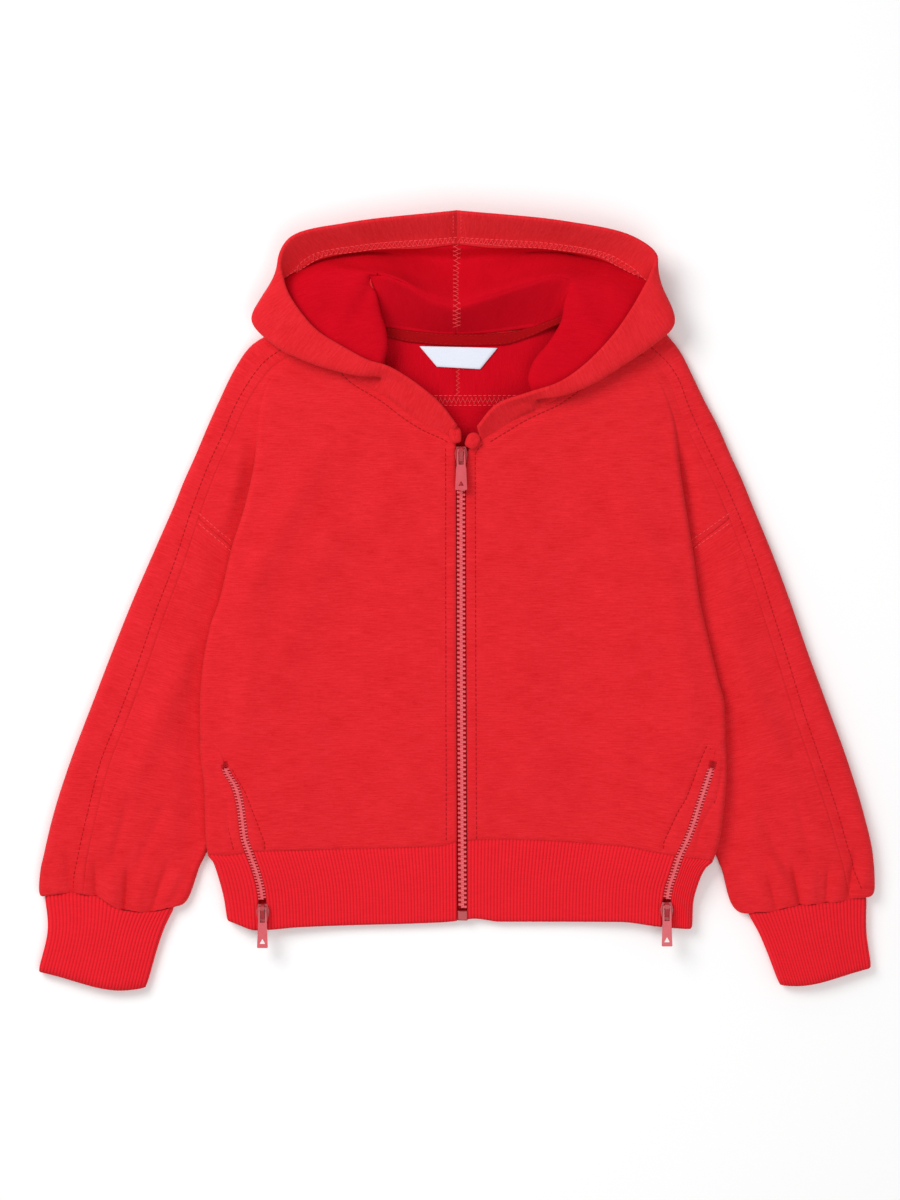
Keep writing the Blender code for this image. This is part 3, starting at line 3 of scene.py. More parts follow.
import bpy
import numpy as np
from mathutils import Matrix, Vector


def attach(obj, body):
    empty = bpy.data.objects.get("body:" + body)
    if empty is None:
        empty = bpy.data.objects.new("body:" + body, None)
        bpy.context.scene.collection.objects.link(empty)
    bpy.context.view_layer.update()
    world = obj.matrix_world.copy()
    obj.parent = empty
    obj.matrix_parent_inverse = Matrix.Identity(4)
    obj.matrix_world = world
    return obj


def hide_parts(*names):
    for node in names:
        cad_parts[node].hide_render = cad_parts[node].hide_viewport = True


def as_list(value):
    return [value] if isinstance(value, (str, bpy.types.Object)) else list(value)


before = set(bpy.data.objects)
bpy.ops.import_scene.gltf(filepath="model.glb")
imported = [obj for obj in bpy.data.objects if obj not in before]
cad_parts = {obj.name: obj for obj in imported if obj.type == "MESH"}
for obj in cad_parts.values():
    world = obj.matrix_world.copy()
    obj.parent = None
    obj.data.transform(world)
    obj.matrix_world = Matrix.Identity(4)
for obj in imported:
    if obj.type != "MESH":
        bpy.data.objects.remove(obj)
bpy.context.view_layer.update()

# ---------------------------------------------------------------- camera, light and floor
# The picture looks straight down on the garment, with soft, even light that comes from above and a
# little from the hood's side. The surface under it is plain white.

eye = bpy.data.cameras.new("eye")
eye.sensor_width = 36.0
eye.lens = 85.0
eye_object = bpy.data.objects.new("eye", eye)
eye_object.location = (-0.0047, 0.0032, 1.906)
bpy.context.scene.collection.objects.link(eye_object)
bpy.context.scene.camera = eye_object

world = bpy.data.worlds.new("soft_dome")
bpy.context.scene.world = world
world.use_nodes = True
world.node_tree.nodes["Background"].inputs["Color"].default_value = (1.0, 1.0, 1.0, 1.0)
world.node_tree.nodes["Background"].inputs["Strength"].default_value = 0.47
for lamp_name, place, aim, size, power in [
    ("key", (-0.95, 0.8, 1.25), (0.0, 0.0, 0.0), 0.9, 18.6),
    ("fill", (0.3, -0.6, 1.5), (0.0, 0.0, 0.0), 1.2, 8.4),
]:
    lamp = bpy.data.lights.new(lamp_name, "AREA")
    lamp.energy = power
    lamp.size = size
    lamp_object = bpy.data.objects.new(lamp_name, lamp)
    lamp_object.location = place
    lamp_object.rotation_euler = (Vector(aim) - Vector(place)).to_track_quat("-Z", "Y").to_euler()
    bpy.context.scene.collection.objects.link(lamp_object)
bpy.context.scene.view_settings.view_transform = "Standard"

bpy.ops.mesh.primitive_plane_add(size=4.0, location=(0, 0, -0.0002))
floor = bpy.context.object
floor.name = "floor"
floor_paint = bpy.data.materials.new("pale_floor")
floor_paint.use_nodes = True
floor_shader = floor_paint.node_tree.nodes["Principled BSDF"]
floor_shader.inputs["Base Color"].default_value = (0.97, 0.97, 0.97, 1.0)
floor_shader.inputs["Roughness"].default_value = 0.9
floor.data.materials.append(floor_paint)

# ---------------------------------------------------------------- front panels
# Two panels of brushed-back jersey, red with faint paler and darker courses. Each runs from the zip
# to the side zip, turns under at the body's side fold above it, and is tucked in beside the body
# from the underarm up to the over-arm strip.

MM = 0.001
FLEECE = 1.8
FLOOR = FLEECE / 2
SIDES = {"L": -1, "R": 1}
RED_LIGHT, RED_DARK = (0.785, 0.0180, 0.028), (0.605, 0.0029, 0.0078)
INSIDE_LIGHT, INSIDE_DARK = (0.63, 0.0042, 0.0155), (0.51, 0.0012, 0.0085)


def node(tree, kind, **inputs):
    """A shader node with its named inputs set or linked."""
    made = tree.nodes.new(kind)
    for key, value in inputs.items():
        socket = made.inputs[key.replace("_", " ")]
        if isinstance(value, bpy.types.NodeSocket):
            tree.links.new(value, socket)
        else:
            socket.default_value = value
    return made


def math_node(tree, operation, first, second):
    """A Math node's output."""
    made = tree.nodes.new("ShaderNodeMath")
    made.operation = operation
    for index, value in enumerate((first, second)):
        if isinstance(value, bpy.types.NodeSocket):
            tree.links.new(value, made.inputs[index])
        else:
            made.inputs[index].default_value = value
    return made.outputs[0]


def stretched_noise(tree, vector, scale, detail, rough):
    """Noise of its own scale along each axis of a vector in metres."""
    mapping = tree.nodes.new("ShaderNodeMapping")
    tree.links.new(vector, mapping.inputs["Vector"])
    mapping.inputs["Scale"].default_value = scale
    return node(tree, "ShaderNodeTexNoise", Vector=mapping.outputs[0], Scale=1.0, Detail=detail,
                Roughness=rough).outputs[0]


def knit_group():
    """Jersey: courses as streaks across the cloth, soft blotches, and a fuzzy grain.

    Tone = 0.5 x streaks + 0.3 x short streaks + 0.2 x blotches; Height = grain + streaks."""
    tree = bpy.data.node_groups.new("jersey_knit", "ShaderNodeTree")
    tree.interface.new_socket("Vector", in_out="INPUT", socket_type="NodeSocketVector")
    tree.interface.new_socket("Tone", in_out="OUTPUT", socket_type="NodeSocketFloat")
    tree.interface.new_socket("Height", in_out="OUTPUT", socket_type="NodeSocketFloat")
    vector = tree.nodes.new("NodeGroupInput").outputs["Vector"]
    long_streaks = stretched_noise(tree, vector, (95, 1150, 1), 3, 0.6)
    short_streaks = stretched_noise(tree, vector, (420, 1900, 1), 2, 0.6)
    blotches = stretched_noise(tree, vector, (38, 60, 1), 3, 0.55)
    grain = stretched_noise(tree, vector, (1500, 1900, 1), 3, 0.7)
    tone = math_node(tree, "ADD", math_node(tree, "MULTIPLY", long_streaks, 0.5),
                     math_node(tree, "ADD", math_node(tree, "MULTIPLY", short_streaks, 0.3),
                               math_node(tree, "MULTIPLY", blotches, 0.2)))
    out = tree.nodes.new("NodeGroupOutput")
    tree.links.new(tone, out.inputs["Tone"])
    tree.links.new(math_node(tree, "ADD", grain, math_node(tree, "MULTIPLY", short_streaks, 0.8)),
                   out.inputs["Height"])
    return tree


JERSEY = knit_group()


def cloth_material(name, light, dark, contrast, rough, sheen, bump, specular=0.25):
    """A knitted cloth: its colour runs between two tones with the knit group's streaks."""
    made = bpy.data.materials.new(name)
    made.use_nodes = True
    tree = made.node_tree
    shader = tree.nodes["Principled BSDF"]
    uv = tree.nodes.new("ShaderNodeUVMap")
    uv.uv_map = "cloth"
    knit = tree.nodes.new("ShaderNodeGroup")
    knit.node_tree = JERSEY
    tree.links.new(uv.outputs["UV"], knit.inputs["Vector"])
    ramp = tree.nodes.new("ShaderNodeValToRGB")
    ramp.color_ramp.elements[0].position = 0.5 - contrast
    ramp.color_ramp.elements[0].color = (*dark, 1)
    ramp.color_ramp.elements[1].position = 0.5 + contrast
    ramp.color_ramp.elements[1].color = (*light, 1)
    tree.links.new(knit.outputs["Tone"], ramp.inputs[0])
    tree.links.new(ramp.outputs["Color"], shader.inputs["Base Color"])
    bumps = node(tree, "ShaderNodeBump", Strength=bump, Distance=0.00035, Height=knit.outputs["Height"])
    tree.links.new(bumps.outputs["Normal"], shader.inputs["Normal"])
    shader.inputs["Roughness"].default_value = rough
    shader.inputs["Specular IOR Level"].default_value = specular
    shader.inputs["Sheen Weight"].default_value = sheen
    shader.inputs["Sheen Roughness"].default_value = 0.55
    shader.inputs["Sheen Tint"].default_value = (1.0, 0.45, 0.42, 1.0)
    return made


JERSEY_FACE = cloth_material("jersey_face", RED_LIGHT, RED_DARK, 0.15, 0.92, 0.08, 0.35)
JERSEY_INSIDE = cloth_material("jersey_inside", INSIDE_LIGHT, INSIDE_DARK, 0.2, 1.0, 0.0, 0.5, specular=0.04)

# How far out the body's side fold lies: y, t. `t` is a distance outwards from x = 0.
SIDE_FOLD = {
    "L": [(-217, 153.5), (-198, 156), (-182, 159.5), (-169, 163.5), (-165, 167), (-145, 168.5),
          (-123, 169), (-94, 172), (-67, 172), (-40, 170), (-14, 165), (3, 159), (39, 150.5),
          (66, 142), (97, 135.5), (117, 133.5), (137, 130), (148, 126), (159, 116), (168, 100)],
    "R": [(-217, 157.5), (-198, 158), (-182, 161.5), (-171, 166), (-166, 171), (-145, 177),
          (-108, 180.5), (-95, 180), (-67, 179), (-49, 174.5), (-26, 169), (3, 162.5),
          (35, 158), (66, 153), (90, 149.5), (117, 146.5), (137, 141), (148, 136), (159, 126), (168, 110)],
}
# Heights of the body's layers: y, front at the zip, front at the fold, back at the fold.
LAYERS = [(-217, 5.6, 9.2, 1.1), (-200, 5.7, 9.6, 1.2), (-168, 5.8, 13.5, 7.3), (-150, 5.9, 13.7, 7.6),
          (0, 6.6, 13.5, 7.3), (18, 6.8, 13.5, 7.3), (60, 7.6, 13.4, 7.2), (110, 9.2, 12.2, 7.0),
          (140, 10.0, 11.0, 7.0), (168, 10.2, 10.3, 7.0)]
# The tuck beside the body: y, how far the cloth has turned over (degrees), how deep it goes in.
TUCK = [(10, 180, 25.3), (18, 180, 25.3), (28, 180, 23), (40, 180, 17.3), (56, 180, 11), (70, 172, 4.1),
        (84, 150, 2), (96, 115, 1), (110, 70, 0.8), (130, 38, 0.8), (150, 15, 0.8), (168, 4, 0.8)]
# Where the side seam lies: y, path length from the fold, towards the front.
SIDE_SEAM = [(-101, 13.0), (-95, 8.0), (-83, 0.0), (-60, -7.0), (-20, -22.0), (16, -29.0)]
# The slanting side zips, down to the hem: y, t.
SIDE_ZIP = {
    "L": [(-217, 129.3), (-198, 130.2), (-189, 131.2), (-178, 134), (-167, 138), (-155, 142),
          (-143, 143.5), (-132, 145), (-121, 148), (-111, 154), (-101, 157)],
    "R": [(-217, 139.6), (-198, 140.4), (-189, 141.4), (-178, 144.5), (-165, 148.5), (-155, 153),
          (-144, 157.5), (-132, 161.5), (-121, 165.5), (-104, 171), (-101, 171.5)],
}
# The front edges beside the main zip, and above it the neckline: y, t.
FRONT_EDGE = {
    "L": [(-217, 0.4), (-150, 0.6), (0, 1.0), (109, 1.1), (112.5, 4), (120, 20), (127, 31.5),
          (139, 47.5), (152, 68.5), (160, 76), (168, 81)],
    "R": [(-217, 7.4), (-150, 7.2), (0, 6.6), (100, 6.4), (105, 9), (112.5, 20), (120, 32),
          (127, 44), (139, 69), (152, 84), (160, 87), (168, 89)],
}
# Sag of the hem seam and of the rib's lower edge: x, seam, lower edge.
HEM_SAG = [(-180, 0, 4), (-154, -2.5, 2.5), (-134, 0, -3.5), (-105, 0.5, -1.5), (-11, 3, 1.5),
           (0, 6, 2.5), (12, 7, 4), (29, 7.5, 2), (109, 3.5, 2), (135, -1, -1), (154, -4, -2.5),
           (180, -6.5, -3.5)]
# The over-arm strip beside the front panel: y and t of its front seam, t and y of its outer fold,
# t and y of its back seam.
SHOULDER = {
    "L": [(167.3, 111, 125, 182.5, 108, 132), (159, 123.5, 138.5, 173.5, 121, 129.5),
          (148, 132.5, 149, 158.5, 132, 124.5), (131, 142.5, 159.5, 137, 142, 117),
          (112.5, 150.5, 168, 118, 150, 105), (93, 159.7, 176, 99, 158, 92.5),
          (76, 166.5, 183, 83.5, 166, 75), (58, 173, 190, 66, 173, 58)],
    "R": [(167.3, 125.5, 139.5, 183, 118, 132), (159, 135, 150, 169.5, 132, 129.5),
          (148, 142.5, 158.5, 152.5, 142.5, 124.5), (131, 148.8, 167, 135, 150, 117),
          (112.5, 157, 175.5, 119, 157, 105), (93, 166.5, 184, 99.5, 165, 92.5),
          (76, 174.7, 191.2, 84, 174, 75), (58, 182.5, 198.5, 66, 182.5, 58)],
}
# The sleeve below the armhole: front seam t, y; outer fold t, y; inner fold t, y; fold radii.
SLEEVE = {
    "L": [(173, 58, 190, 66, 130, 20.5, 4.0, 2.1), (184, 24, 204.5, 33, 130, 0, 4.2, 2.1),
          (195, -5, 217.5, 3, 132, -25, 4.4, 2.1), (207, -40, 231.5, -32, 137.5, -62, 4.6, 2.1),
          (219.5, -74, 244.5, -66, 143, -95, 4.8, 2.1), (233, -109, 260, -107, 151, -126, 5.0, 2.1),
          (241, -141, 270.5, -140, 161, -150, 5.0, 2.15), (246.5, -165, 277, -167, 169, -168, 4.6, 2.4),
          (249.5, -182, 280.5, -185, 179, -186.5, 4.0, 2.9),
          (250.5, -193, 279, -196, 187.5, -200.5, 3.2, 3.0)],
    "R": [(182.5, 58, 198.5, 66, 135.5, 20.5, 4.0, 2.1), (195, 25, 212.5, 32, 135.5, 0, 4.2, 2.1),
          (205.5, -8, 224, 1, 136, -25, 4.4, 2.1), (215, -38, 235, -31, 141.5, -62, 4.6, 2.1),
          (226, -74, 249, -69, 149.5, -95, 4.8, 2.1), (237.5, -108, 262, -105, 158.5, -125, 5.0, 2.1),
          (248.5, -141, 273, -141, 167.5, -153, 5.0, 2.15), (255.5, -165, 279, -168, 175, -171, 4.6, 2.4),
          (261, -182, 280.3, -185, 182, -187.5, 4.0, 2.9), (265.5, -194.5, 277, -197, 193, -205.5, 3.2, 3.0)],
}
HEM_SEAM_Y, HEM_END_Y = -164.5, -214.0
UNDERARM_Y, LOOP_TOP_Y, ARMHOLE_Y, SHOULDER_TOP_Y = 18.0, 10.0, 58.0, 167.3
FOLD_RADIUS, TUCK_RADIUS, TUCK_LIFT = 3.1, 1.25, 2.0
SEAM, CHAIN_GAP, ZIP_TOP_Y = 0.12, 2.95, -108.0
TOP_POINTS, TURN_POINTS = 60, 24


def ease(keys, values, at):
    """Cubic runs between the rows of a table that never overshoot them (harmonic mean slopes)."""
    keys, values = np.asarray(keys, float), np.asarray(values, float)
    order = np.argsort(keys)
    keys, values = keys[order], values[order]
    at = np.clip(np.asarray(at, float), keys[0], keys[-1])
    steps = np.diff(keys)
    slopes = np.diff(values) / steps
    same = slopes[:-1] * slopes[1:] > 0
    total = np.where(same, slopes[:-1] + slopes[1:], 1.0)
    harmonic = np.where(same, 2 * slopes[:-1] * slopes[1:] / total, 0.0)
    tangents = np.concatenate([slopes[:1], harmonic, slopes[-1:]])
    cell = np.clip(np.searchsorted(keys, at) - 1, 0, len(steps) - 1)
    u = (at - keys[cell]) / steps[cell]
    rise = values[cell + 1] - values[cell]
    return (values[cell] + rise * (3 * u ** 2 - 2 * u ** 3)
            + steps[cell] * (tangents[cell] * u * (1 - u) ** 2 - tangents[cell + 1] * u ** 2 * (1 - u)))


def column(table, key, value, at):
    """One column of a table, read at `at` by its key column."""
    return ease([row[key] for row in table], [row[value] for row in table], at)


def smooth(low, high, at):
    """0 below `low`, 1 above `high`, and 3u^2 - 2u^3 between them."""
    u = np.clip((np.asarray(at, float) - low) / (high - low), 0, 1)
    return u * u * (3 - 2 * u)


def lengths(path):
    """Distance along a path at each of its points."""
    return np.concatenate([[0], np.cumsum(np.linalg.norm(np.diff(path, axis=0), axis=1))])


def at_lengths(path, places):
    """The points of a path at the given distances along it."""
    run = lengths(path)
    return np.column_stack([np.interp(places, run, path[:, axis]) for axis in range(path.shape[1])])


def zoned(path, stations, counts):
    """Points on a path with a fixed number of steps between each two stations along it."""
    spans = zip(stations, stations[1:], counts)
    places = [stations[:1]] + [np.linspace(start, end, count + 1)[1:] for start, end, count in spans]
    return at_lengths(path, np.concatenate(places))


def arc(centre, radius, first, turn, count):
    """Points round a centre in the (t, z) plane, the first point left out."""
    angles = first + turn * np.arange(1, count + 1) / count
    return np.column_stack([centre[0] + radius * np.cos(angles), centre[1] + radius * np.sin(angles)])


def fold_at(side, y):
    """How far out the side fold's mid-surface lies."""
    return column(SIDE_FOLD[side], 0, 1, y) - FLEECE / 2


def front_run(side, y, end):
    """The front's top layer from the zip or neckline out to `end`, as (t, z)."""
    t = np.linspace(column(FRONT_EDGE[side], 0, 1, y), end, TOP_POINTS)
    fold = fold_at(side, y)
    low, high = column(LAYERS, 0, 1, y), column(LAYERS, 0, 2, y)
    return np.column_stack([t, low + (high - low) * smooth(0.42 * fold, 0.93 * fold, t)])


def loop_path(side, y):
    """A body section below the underarm: front, half turn round the side fold, back in to x = 0.

    Returns the (t, z) path and the distance along it of the fold's outermost point."""
    fold, top, low = fold_at(side, y), column(LAYERS, 0, 2, y), column(LAYERS, 0, 3, y)
    base = FLOOR if y >= HEM_SEAM_Y else 1.1
    radius = (top - low) / 2
    front = front_run(side, y, fold - radius)
    turn = arc((fold - radius, low + radius), radius, math.pi / 2, -math.pi, TURN_POINTS)
    t = np.linspace(fold - radius, 0, 90)[1:]
    ride = column(SLEEVE[side], 5, 4, y)
    back = np.column_stack([t, base + (low - base) * smooth(ride - 30, ride - 10, t)])
    path = np.vstack([front, turn, back])
    return path, lengths(path)[TOP_POINTS + TURN_POINTS // 2 - 1]


def seam_height(y):
    """Height of the over-arm strip's front seam."""
    return ease([-200, -150, -60, 20, 58, 100, 140, 168], [7.4, 9.8, 9.8, 9.2, 9.0, 9.0, 9.4, 9.6], y)


def pressed(side, t, y, height):
    """A sleeve's height where the body's edge lies on it: pressed down under the fold."""
    under = 1 - smooth(2.0, 24.0, np.asarray(t) - fold_at(side, y))
    return height * (1 - under) + (FLOOR + 4.1) * under


def outer_seam(side, y):
    """Where the front panel ends above the underarm: the over-arm seam, or the armhole below it."""
    if y >= ARMHOLE_Y:
        return column(SHOULDER[side], 0, 1, y), seam_height(y)
    corner, root = SLEEVE[side][0][0], SLEEVE[side][0][4] - 3.0
    t = root + (corner - root) * (y - UNDERARM_Y) / (ARMHOLE_Y - UNDERARM_Y)
    return t, pressed(side, t, y, seam_height(ARMHOLE_Y))


def tuck_path(side, y):
    """A front section above the underarm: over the fold, in under it, and out to the outer seam."""
    fold, top = fold_at(side, y), column(LAYERS, 0, 2, y)
    turn, depth = math.radians(column(TUCK, 0, 1, y)), column(TUCK, 0, 2, y)
    start = fold - FOLD_RADIUS * math.sin(min(turn, math.pi / 2))
    front = front_run(side, y, start)
    first = arc((start, top - FOLD_RADIUS), FOLD_RADIUS, math.pi / 2, -turn, TURN_POINTS)
    heading = np.array([math.cos(-turn), math.sin(-turn)])
    middle = first[-1] + heading * depth + np.array([0, TUCK_LIFT * (1 - smooth(18, 45, y))])
    centre = middle + np.array([-heading[1], heading[0]]) * TUCK_RADIUS
    opened = turn * min(1.0, (y - LOOP_TOP_Y) / (UNDERARM_Y - LOOP_TOP_Y))
    second = arc(centre, TUCK_RADIUS, -turn - math.pi / 2, opened, TURN_POINTS)
    corners = np.cumsum([TOP_POINTS - 1, TURN_POINTS, 1, TURN_POINTS])
    path = np.vstack([front, first, [middle], second])
    stations = list(lengths(path)[corners])
    if y >= UNDERARM_Y:
        outer, z_outer = outer_seam(side, y)
        t = np.linspace(second[-1, 0], outer, 40)[1:]
        rise = smooth(min(fold + 2, outer - 5), min(fold + 13, outer), t)
        path = np.vstack([path, np.column_stack([t, second[-1, 1] + (z_outer - second[-1, 1]) * rise])])
    return path, stations


def seam_place(side, y, path, fold_run):
    """Distance along a loop section of the side seam or zip, and half of the gap there."""
    gap = SEAM + (CHAIN_GAP - SEAM) * (1 - smooth(ZIP_TOP_Y - 2.5, ZIP_TOP_Y + 1.5, y))
    outward = slice(0, TOP_POINTS + TURN_POINTS // 2)
    run = lengths(path)
    along_seam = fold_run - column(SIDE_SEAM, 0, 1, y)
    low, high = SIDE_SEAM[0][0], SIDE_SEAM[2][0]
    zip_y = min(y, low)
    along_zip = np.interp(column(SIDE_ZIP[side], 0, 1, zip_y), path[outward, 0], run[outward])
    if y >= high:
        return along_seam, gap
    share = smooth(low, high, y)
    return along_zip * (1 - share) + fold_run * share, gap


def hem_y(x, y):
    """A body row's y at each x: the hem seam's sag fades out up the body, and the rib has its own."""
    seam, end = column(HEM_SAG, 0, 1, x), column(HEM_SAG, 0, 2, x)
    if y >= HEM_SEAM_Y:
        return y + seam * (1 - smooth(HEM_SEAM_Y, HEM_SEAM_Y + 70, y))
    share = (HEM_SEAM_Y - y) / (HEM_SEAM_Y - HEM_END_Y)
    return y + seam * (1 - share) + end * share


def place(side, path, y):
    """A (t, z) path at height y, as x, y, z points."""
    x = SIDES[side] * path[:, 0]
    return np.column_stack([x, hem_y(x, y), path[:, 1]])


def front_row(side, y, steps):
    """One row of a front panel: top layer, fold, layer under it, tuck, and what lies beyond."""
    if y > LOOP_TOP_Y:
        path, stations = tuck_path(side, y)
        stations = stations + [lengths(path)[-1] - SEAM]
        for zone in (3, 2, 1, 0):
            stations[zone] = min(stations[zone], stations[zone + 1] - steps[zone + 1] * 0.3)
    else:
        path, fold_run = loop_path(side, y)
        cut, gap = seam_place(side, y, path, fold_run)
        end = cut - gap
        stations = [min(fold_run - 4.9, end - 15), min(fold_run + 4.9, end - 8), end - 3.2, end - 1.6, end]
        path[:, 1] += TUCK_LIFT * smooth(-15, LOOP_TOP_Y, y) * smooth(end - 12, end - 3, lengths(path))
    return place(side, zoned(path, [0] + stations, steps), y)


def unit(vectors):
    """Vectors of length 1."""
    return vectors / (np.linalg.norm(vectors, axis=-1, keepdims=True) + 1e-12)


def grid_normals(grid, closed=False):
    """Unit normals of a grid: (step along the columns) x (step along the rows)."""
    wide = np.concatenate([grid[:, -1:], grid, grid[:, :1]], axis=1) if closed else grid
    out = unit(np.cross(np.gradient(wide, axis=1), np.gradient(wide, axis=0)))
    return out[:, 1:-1] if closed else out


def crease(x, y, folds):
    """Height of soft folds at each point: h * exp(-(across/width)^2 - (along/half length)^4).

    Each fold is x, y, direction in degrees, half length, width, height; across and along are taken
    in the plan."""
    total = np.zeros_like(x)
    for fx, fy, angle, half, width, height in folds:
        c, s = math.cos(math.radians(angle)), math.sin(math.radians(angle))
        along = (x - fx) * c + (y - fy) * s
        across = -(x - fx) * s + (y - fy) * c
        total += height * np.exp(-(across / width) ** 2 - (along / half) ** 4)
    return total


def undulate(x, y, height, wave, seed):
    """Slow uneven waves: a sum of five sines of different directions, normalised to `height`."""
    rng = np.random.default_rng(seed)
    total = np.zeros_like(x)
    waves = (rng.uniform(0, math.pi, 5), rng.uniform(0.7, 1.6, 5), rng.uniform(0, 6.28, 5))
    for angle, share, phase in zip(*waves):
        total += np.sin(6.2832 * (x * math.cos(angle) + y * math.sin(angle)) / (wave * share) + phase)
    return height * total / 2.5


def groove(grid, path, width, depth):
    """How far a stitched line pulls each point down: depth * exp(-(distance/width)^2), in the plan."""
    points = grid[..., :2].reshape(-1, 2)
    near = np.full(len(points), 1e9)
    for a, b in zip(path[:-1], path[1:]):
        step = b[:2] - a[:2]
        share = np.clip(((points - a[:2]) @ step) / (step @ step + 1e-9), 0, 1)
        near = np.minimum(near, ((points - a[:2] - share[:, None] * step) ** 2).sum(axis=1))
    return (depth * np.exp(-near / width ** 2)).reshape(grid.shape[:2])


def row_lengths(grid):
    """Distance along each row of a grid, at each of its points."""
    steps = np.cumsum(np.linalg.norm(np.diff(grid, axis=1), axis=2), axis=1)
    return np.concatenate([np.zeros((len(grid), 1)), steps], axis=1)


def shell(name, grid, thick, looks, relief=0.0, closed=False, up=1, inside=None):
    """A cloth wall with rounded edges round a grid of mid-surface points, in millimetres.

    outer = grid + n (thick/2 + relief), inner = grid - n thick/2, and a ring of edge points that
    stands thick/3 beyond the grid's border. `up` is +1 or -1, the sign that turns the grid's normals
    to the cloth's face. The UV map holds metres across and along the cloth."""
    rows, columns = grid.shape[:2]
    out = grid_normals(grid, closed) * up
    outer = grid + out * (thick / 2 + relief + np.zeros((rows, columns)))[..., None]
    inner = grid - out * thick / 2
    index = np.arange(rows * columns).reshape(rows, columns)
    if closed:
        borders = [index[0], index[-1][::-1]]
        steps = [grid[0] - grid[1], (grid[-1] - grid[-2])[::-1]]
    else:
        borders = [np.concatenate([index[0, :-1], index[:-1, -1], index[-1, :0:-1], index[:0:-1, 0]])]
        away = np.zeros_like(grid)
        away[0] += unit(grid[0] - grid[1])
        away[-1] += unit(grid[-1] - grid[-2])
        away[:, 0] += unit(grid[:, 0] - grid[:, 1])
        away[:, -1] += unit(grid[:, -1] - grid[:, -2])
        steps = [away.reshape(-1, 3)[borders[0]]]
    flat = grid.reshape(-1, 3)
    rings = [flat[border] + unit(step) * thick / 3 for border, step in zip(borders, steps)]
    points = np.vstack([outer.reshape(-1, 3), inner.reshape(-1, 3)] + rings)
    ahead = np.roll(index, -1, axis=1) if closed else index[:, 1:]
    here = index if closed else index[:, :-1]
    quads = np.stack([here[:-1], ahead[:-1], ahead[1:], here[1:]], axis=-1).reshape(-1, 4)
    total = rows * columns
    faces = [quads, quads[:, ::-1] + total]
    start = 2 * total
    for border, ring in zip(borders, rings):
        edge = np.arange(len(border)) + start
        following, edge_next = np.roll(border, -1), np.roll(edge, -1)
        faces.append(np.stack([following, border, edge, edge_next], axis=-1))
        faces.append(np.stack([edge_next, edge, border + total, following + total], axis=-1))
        start += len(border)
    faces = np.vstack(faces)
    if up < 0:
        faces = faces[:, ::-1]
    across = row_lengths(grid)
    along = np.concatenate([[0], np.cumsum(np.linalg.norm(np.diff(grid, axis=0), axis=2).mean(axis=1))])
    uv = np.stack([across, np.broadcast_to(along[:, None], across.shape)], axis=-1).reshape(-1, 2) * MM
    uv = np.vstack([uv, uv] + [uv[border] for border in borders])
    made = mesh_piece(name, points, [faces], looks, uv)
    # The relief is also kept as the "ridge" attribute, from which the rib material paints shade into its
    # grooves.
    if np.ndim(relief):
        ridge = np.zeros(len(points), np.float32)
        ridge[:rows * columns] = np.ravel(relief)
        made.data.attributes.new("ridge", "FLOAT", "POINT").data.foreach_set("value", ridge)
    if inside is not None:
        made.data.materials.append(inside)
        face = np.zeros(len(faces), np.int32)
        face[len(quads):2 * len(quads)] = 1
        made.data.polygons.foreach_set("material_index", face)
    return made


def mesh_piece(name, points, faces, looks, uv=None):
    """An object from points in millimetres, arrays of faces, a material and UVs by point."""
    mesh = bpy.data.meshes.new(name)
    mesh.from_pydata((points * MM).tolist(), [], [face for part in faces for face in part.tolist()])
    mesh.materials.append(looks)
    if uv is not None:
        corners = np.zeros(len(mesh.loops), np.int32)
        mesh.loops.foreach_get("vertex_index", corners)
        mesh.uv_layers.new(name="cloth").data.foreach_set("uv", uv[corners].astype(np.float32).ravel())
    mesh.shade_smooth()
    made = bpy.data.objects.new(name, mesh)
    bpy.context.scene.collection.objects.link(made)
    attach(made, "garment")
    return made


def cut_of(grid, closed=False):
    """Greatest flat width and length of a grid of cloth, and its area, in metres."""
    wide = np.concatenate([grid, grid[:, :1]], axis=1) if closed else grid
    width = np.linalg.norm(np.diff(wide, axis=1), axis=2).sum(axis=1).max()
    length = np.linalg.norm(np.diff(wide, axis=0), axis=2).sum(axis=0).max()
    across, along = wide[:-1, 1:] - wide[:-1, :-1], wide[1:, :-1] - wide[:-1, :-1]
    area = np.linalg.norm(np.cross(across, along), axis=2).sum()
    return (width * MM, length * MM), area * MM * MM


def declare(piece, grid, held, rests_on, closed=False, with_pieces=()):
    """Works out a cloth piece's flat width, length and area from its grid, and does nothing more with them.
    """
    flat, area = cut_of(grid, closed)
    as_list(rests_on)
    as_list(with_pieces)


def over_arm_seam(side):
    """The over-arm strip's front seam in the plan, from the shoulder down to the cuff, as x, y."""
    y = np.linspace(SHOULDER_TOP_Y, ARMHOLE_Y, 40)
    upper = np.column_stack([column(SHOULDER[side], 0, 1, y), y])
    y = np.linspace(ARMHOLE_Y, SLEEVE[side][-1][1], 80)[1:]
    lower = np.column_stack([column(SLEEVE[side], 1, 0, y), y])
    return np.vstack([upper, lower]) * [SIDES[side], 1]


def beside(path, distance):
    """A plan path moved sideways, to its left where the distance is positive."""
    heading = unit(np.gradient(path, axis=0))
    return path + np.column_stack([-heading[:, 1], heading[:, 0]]) * distance


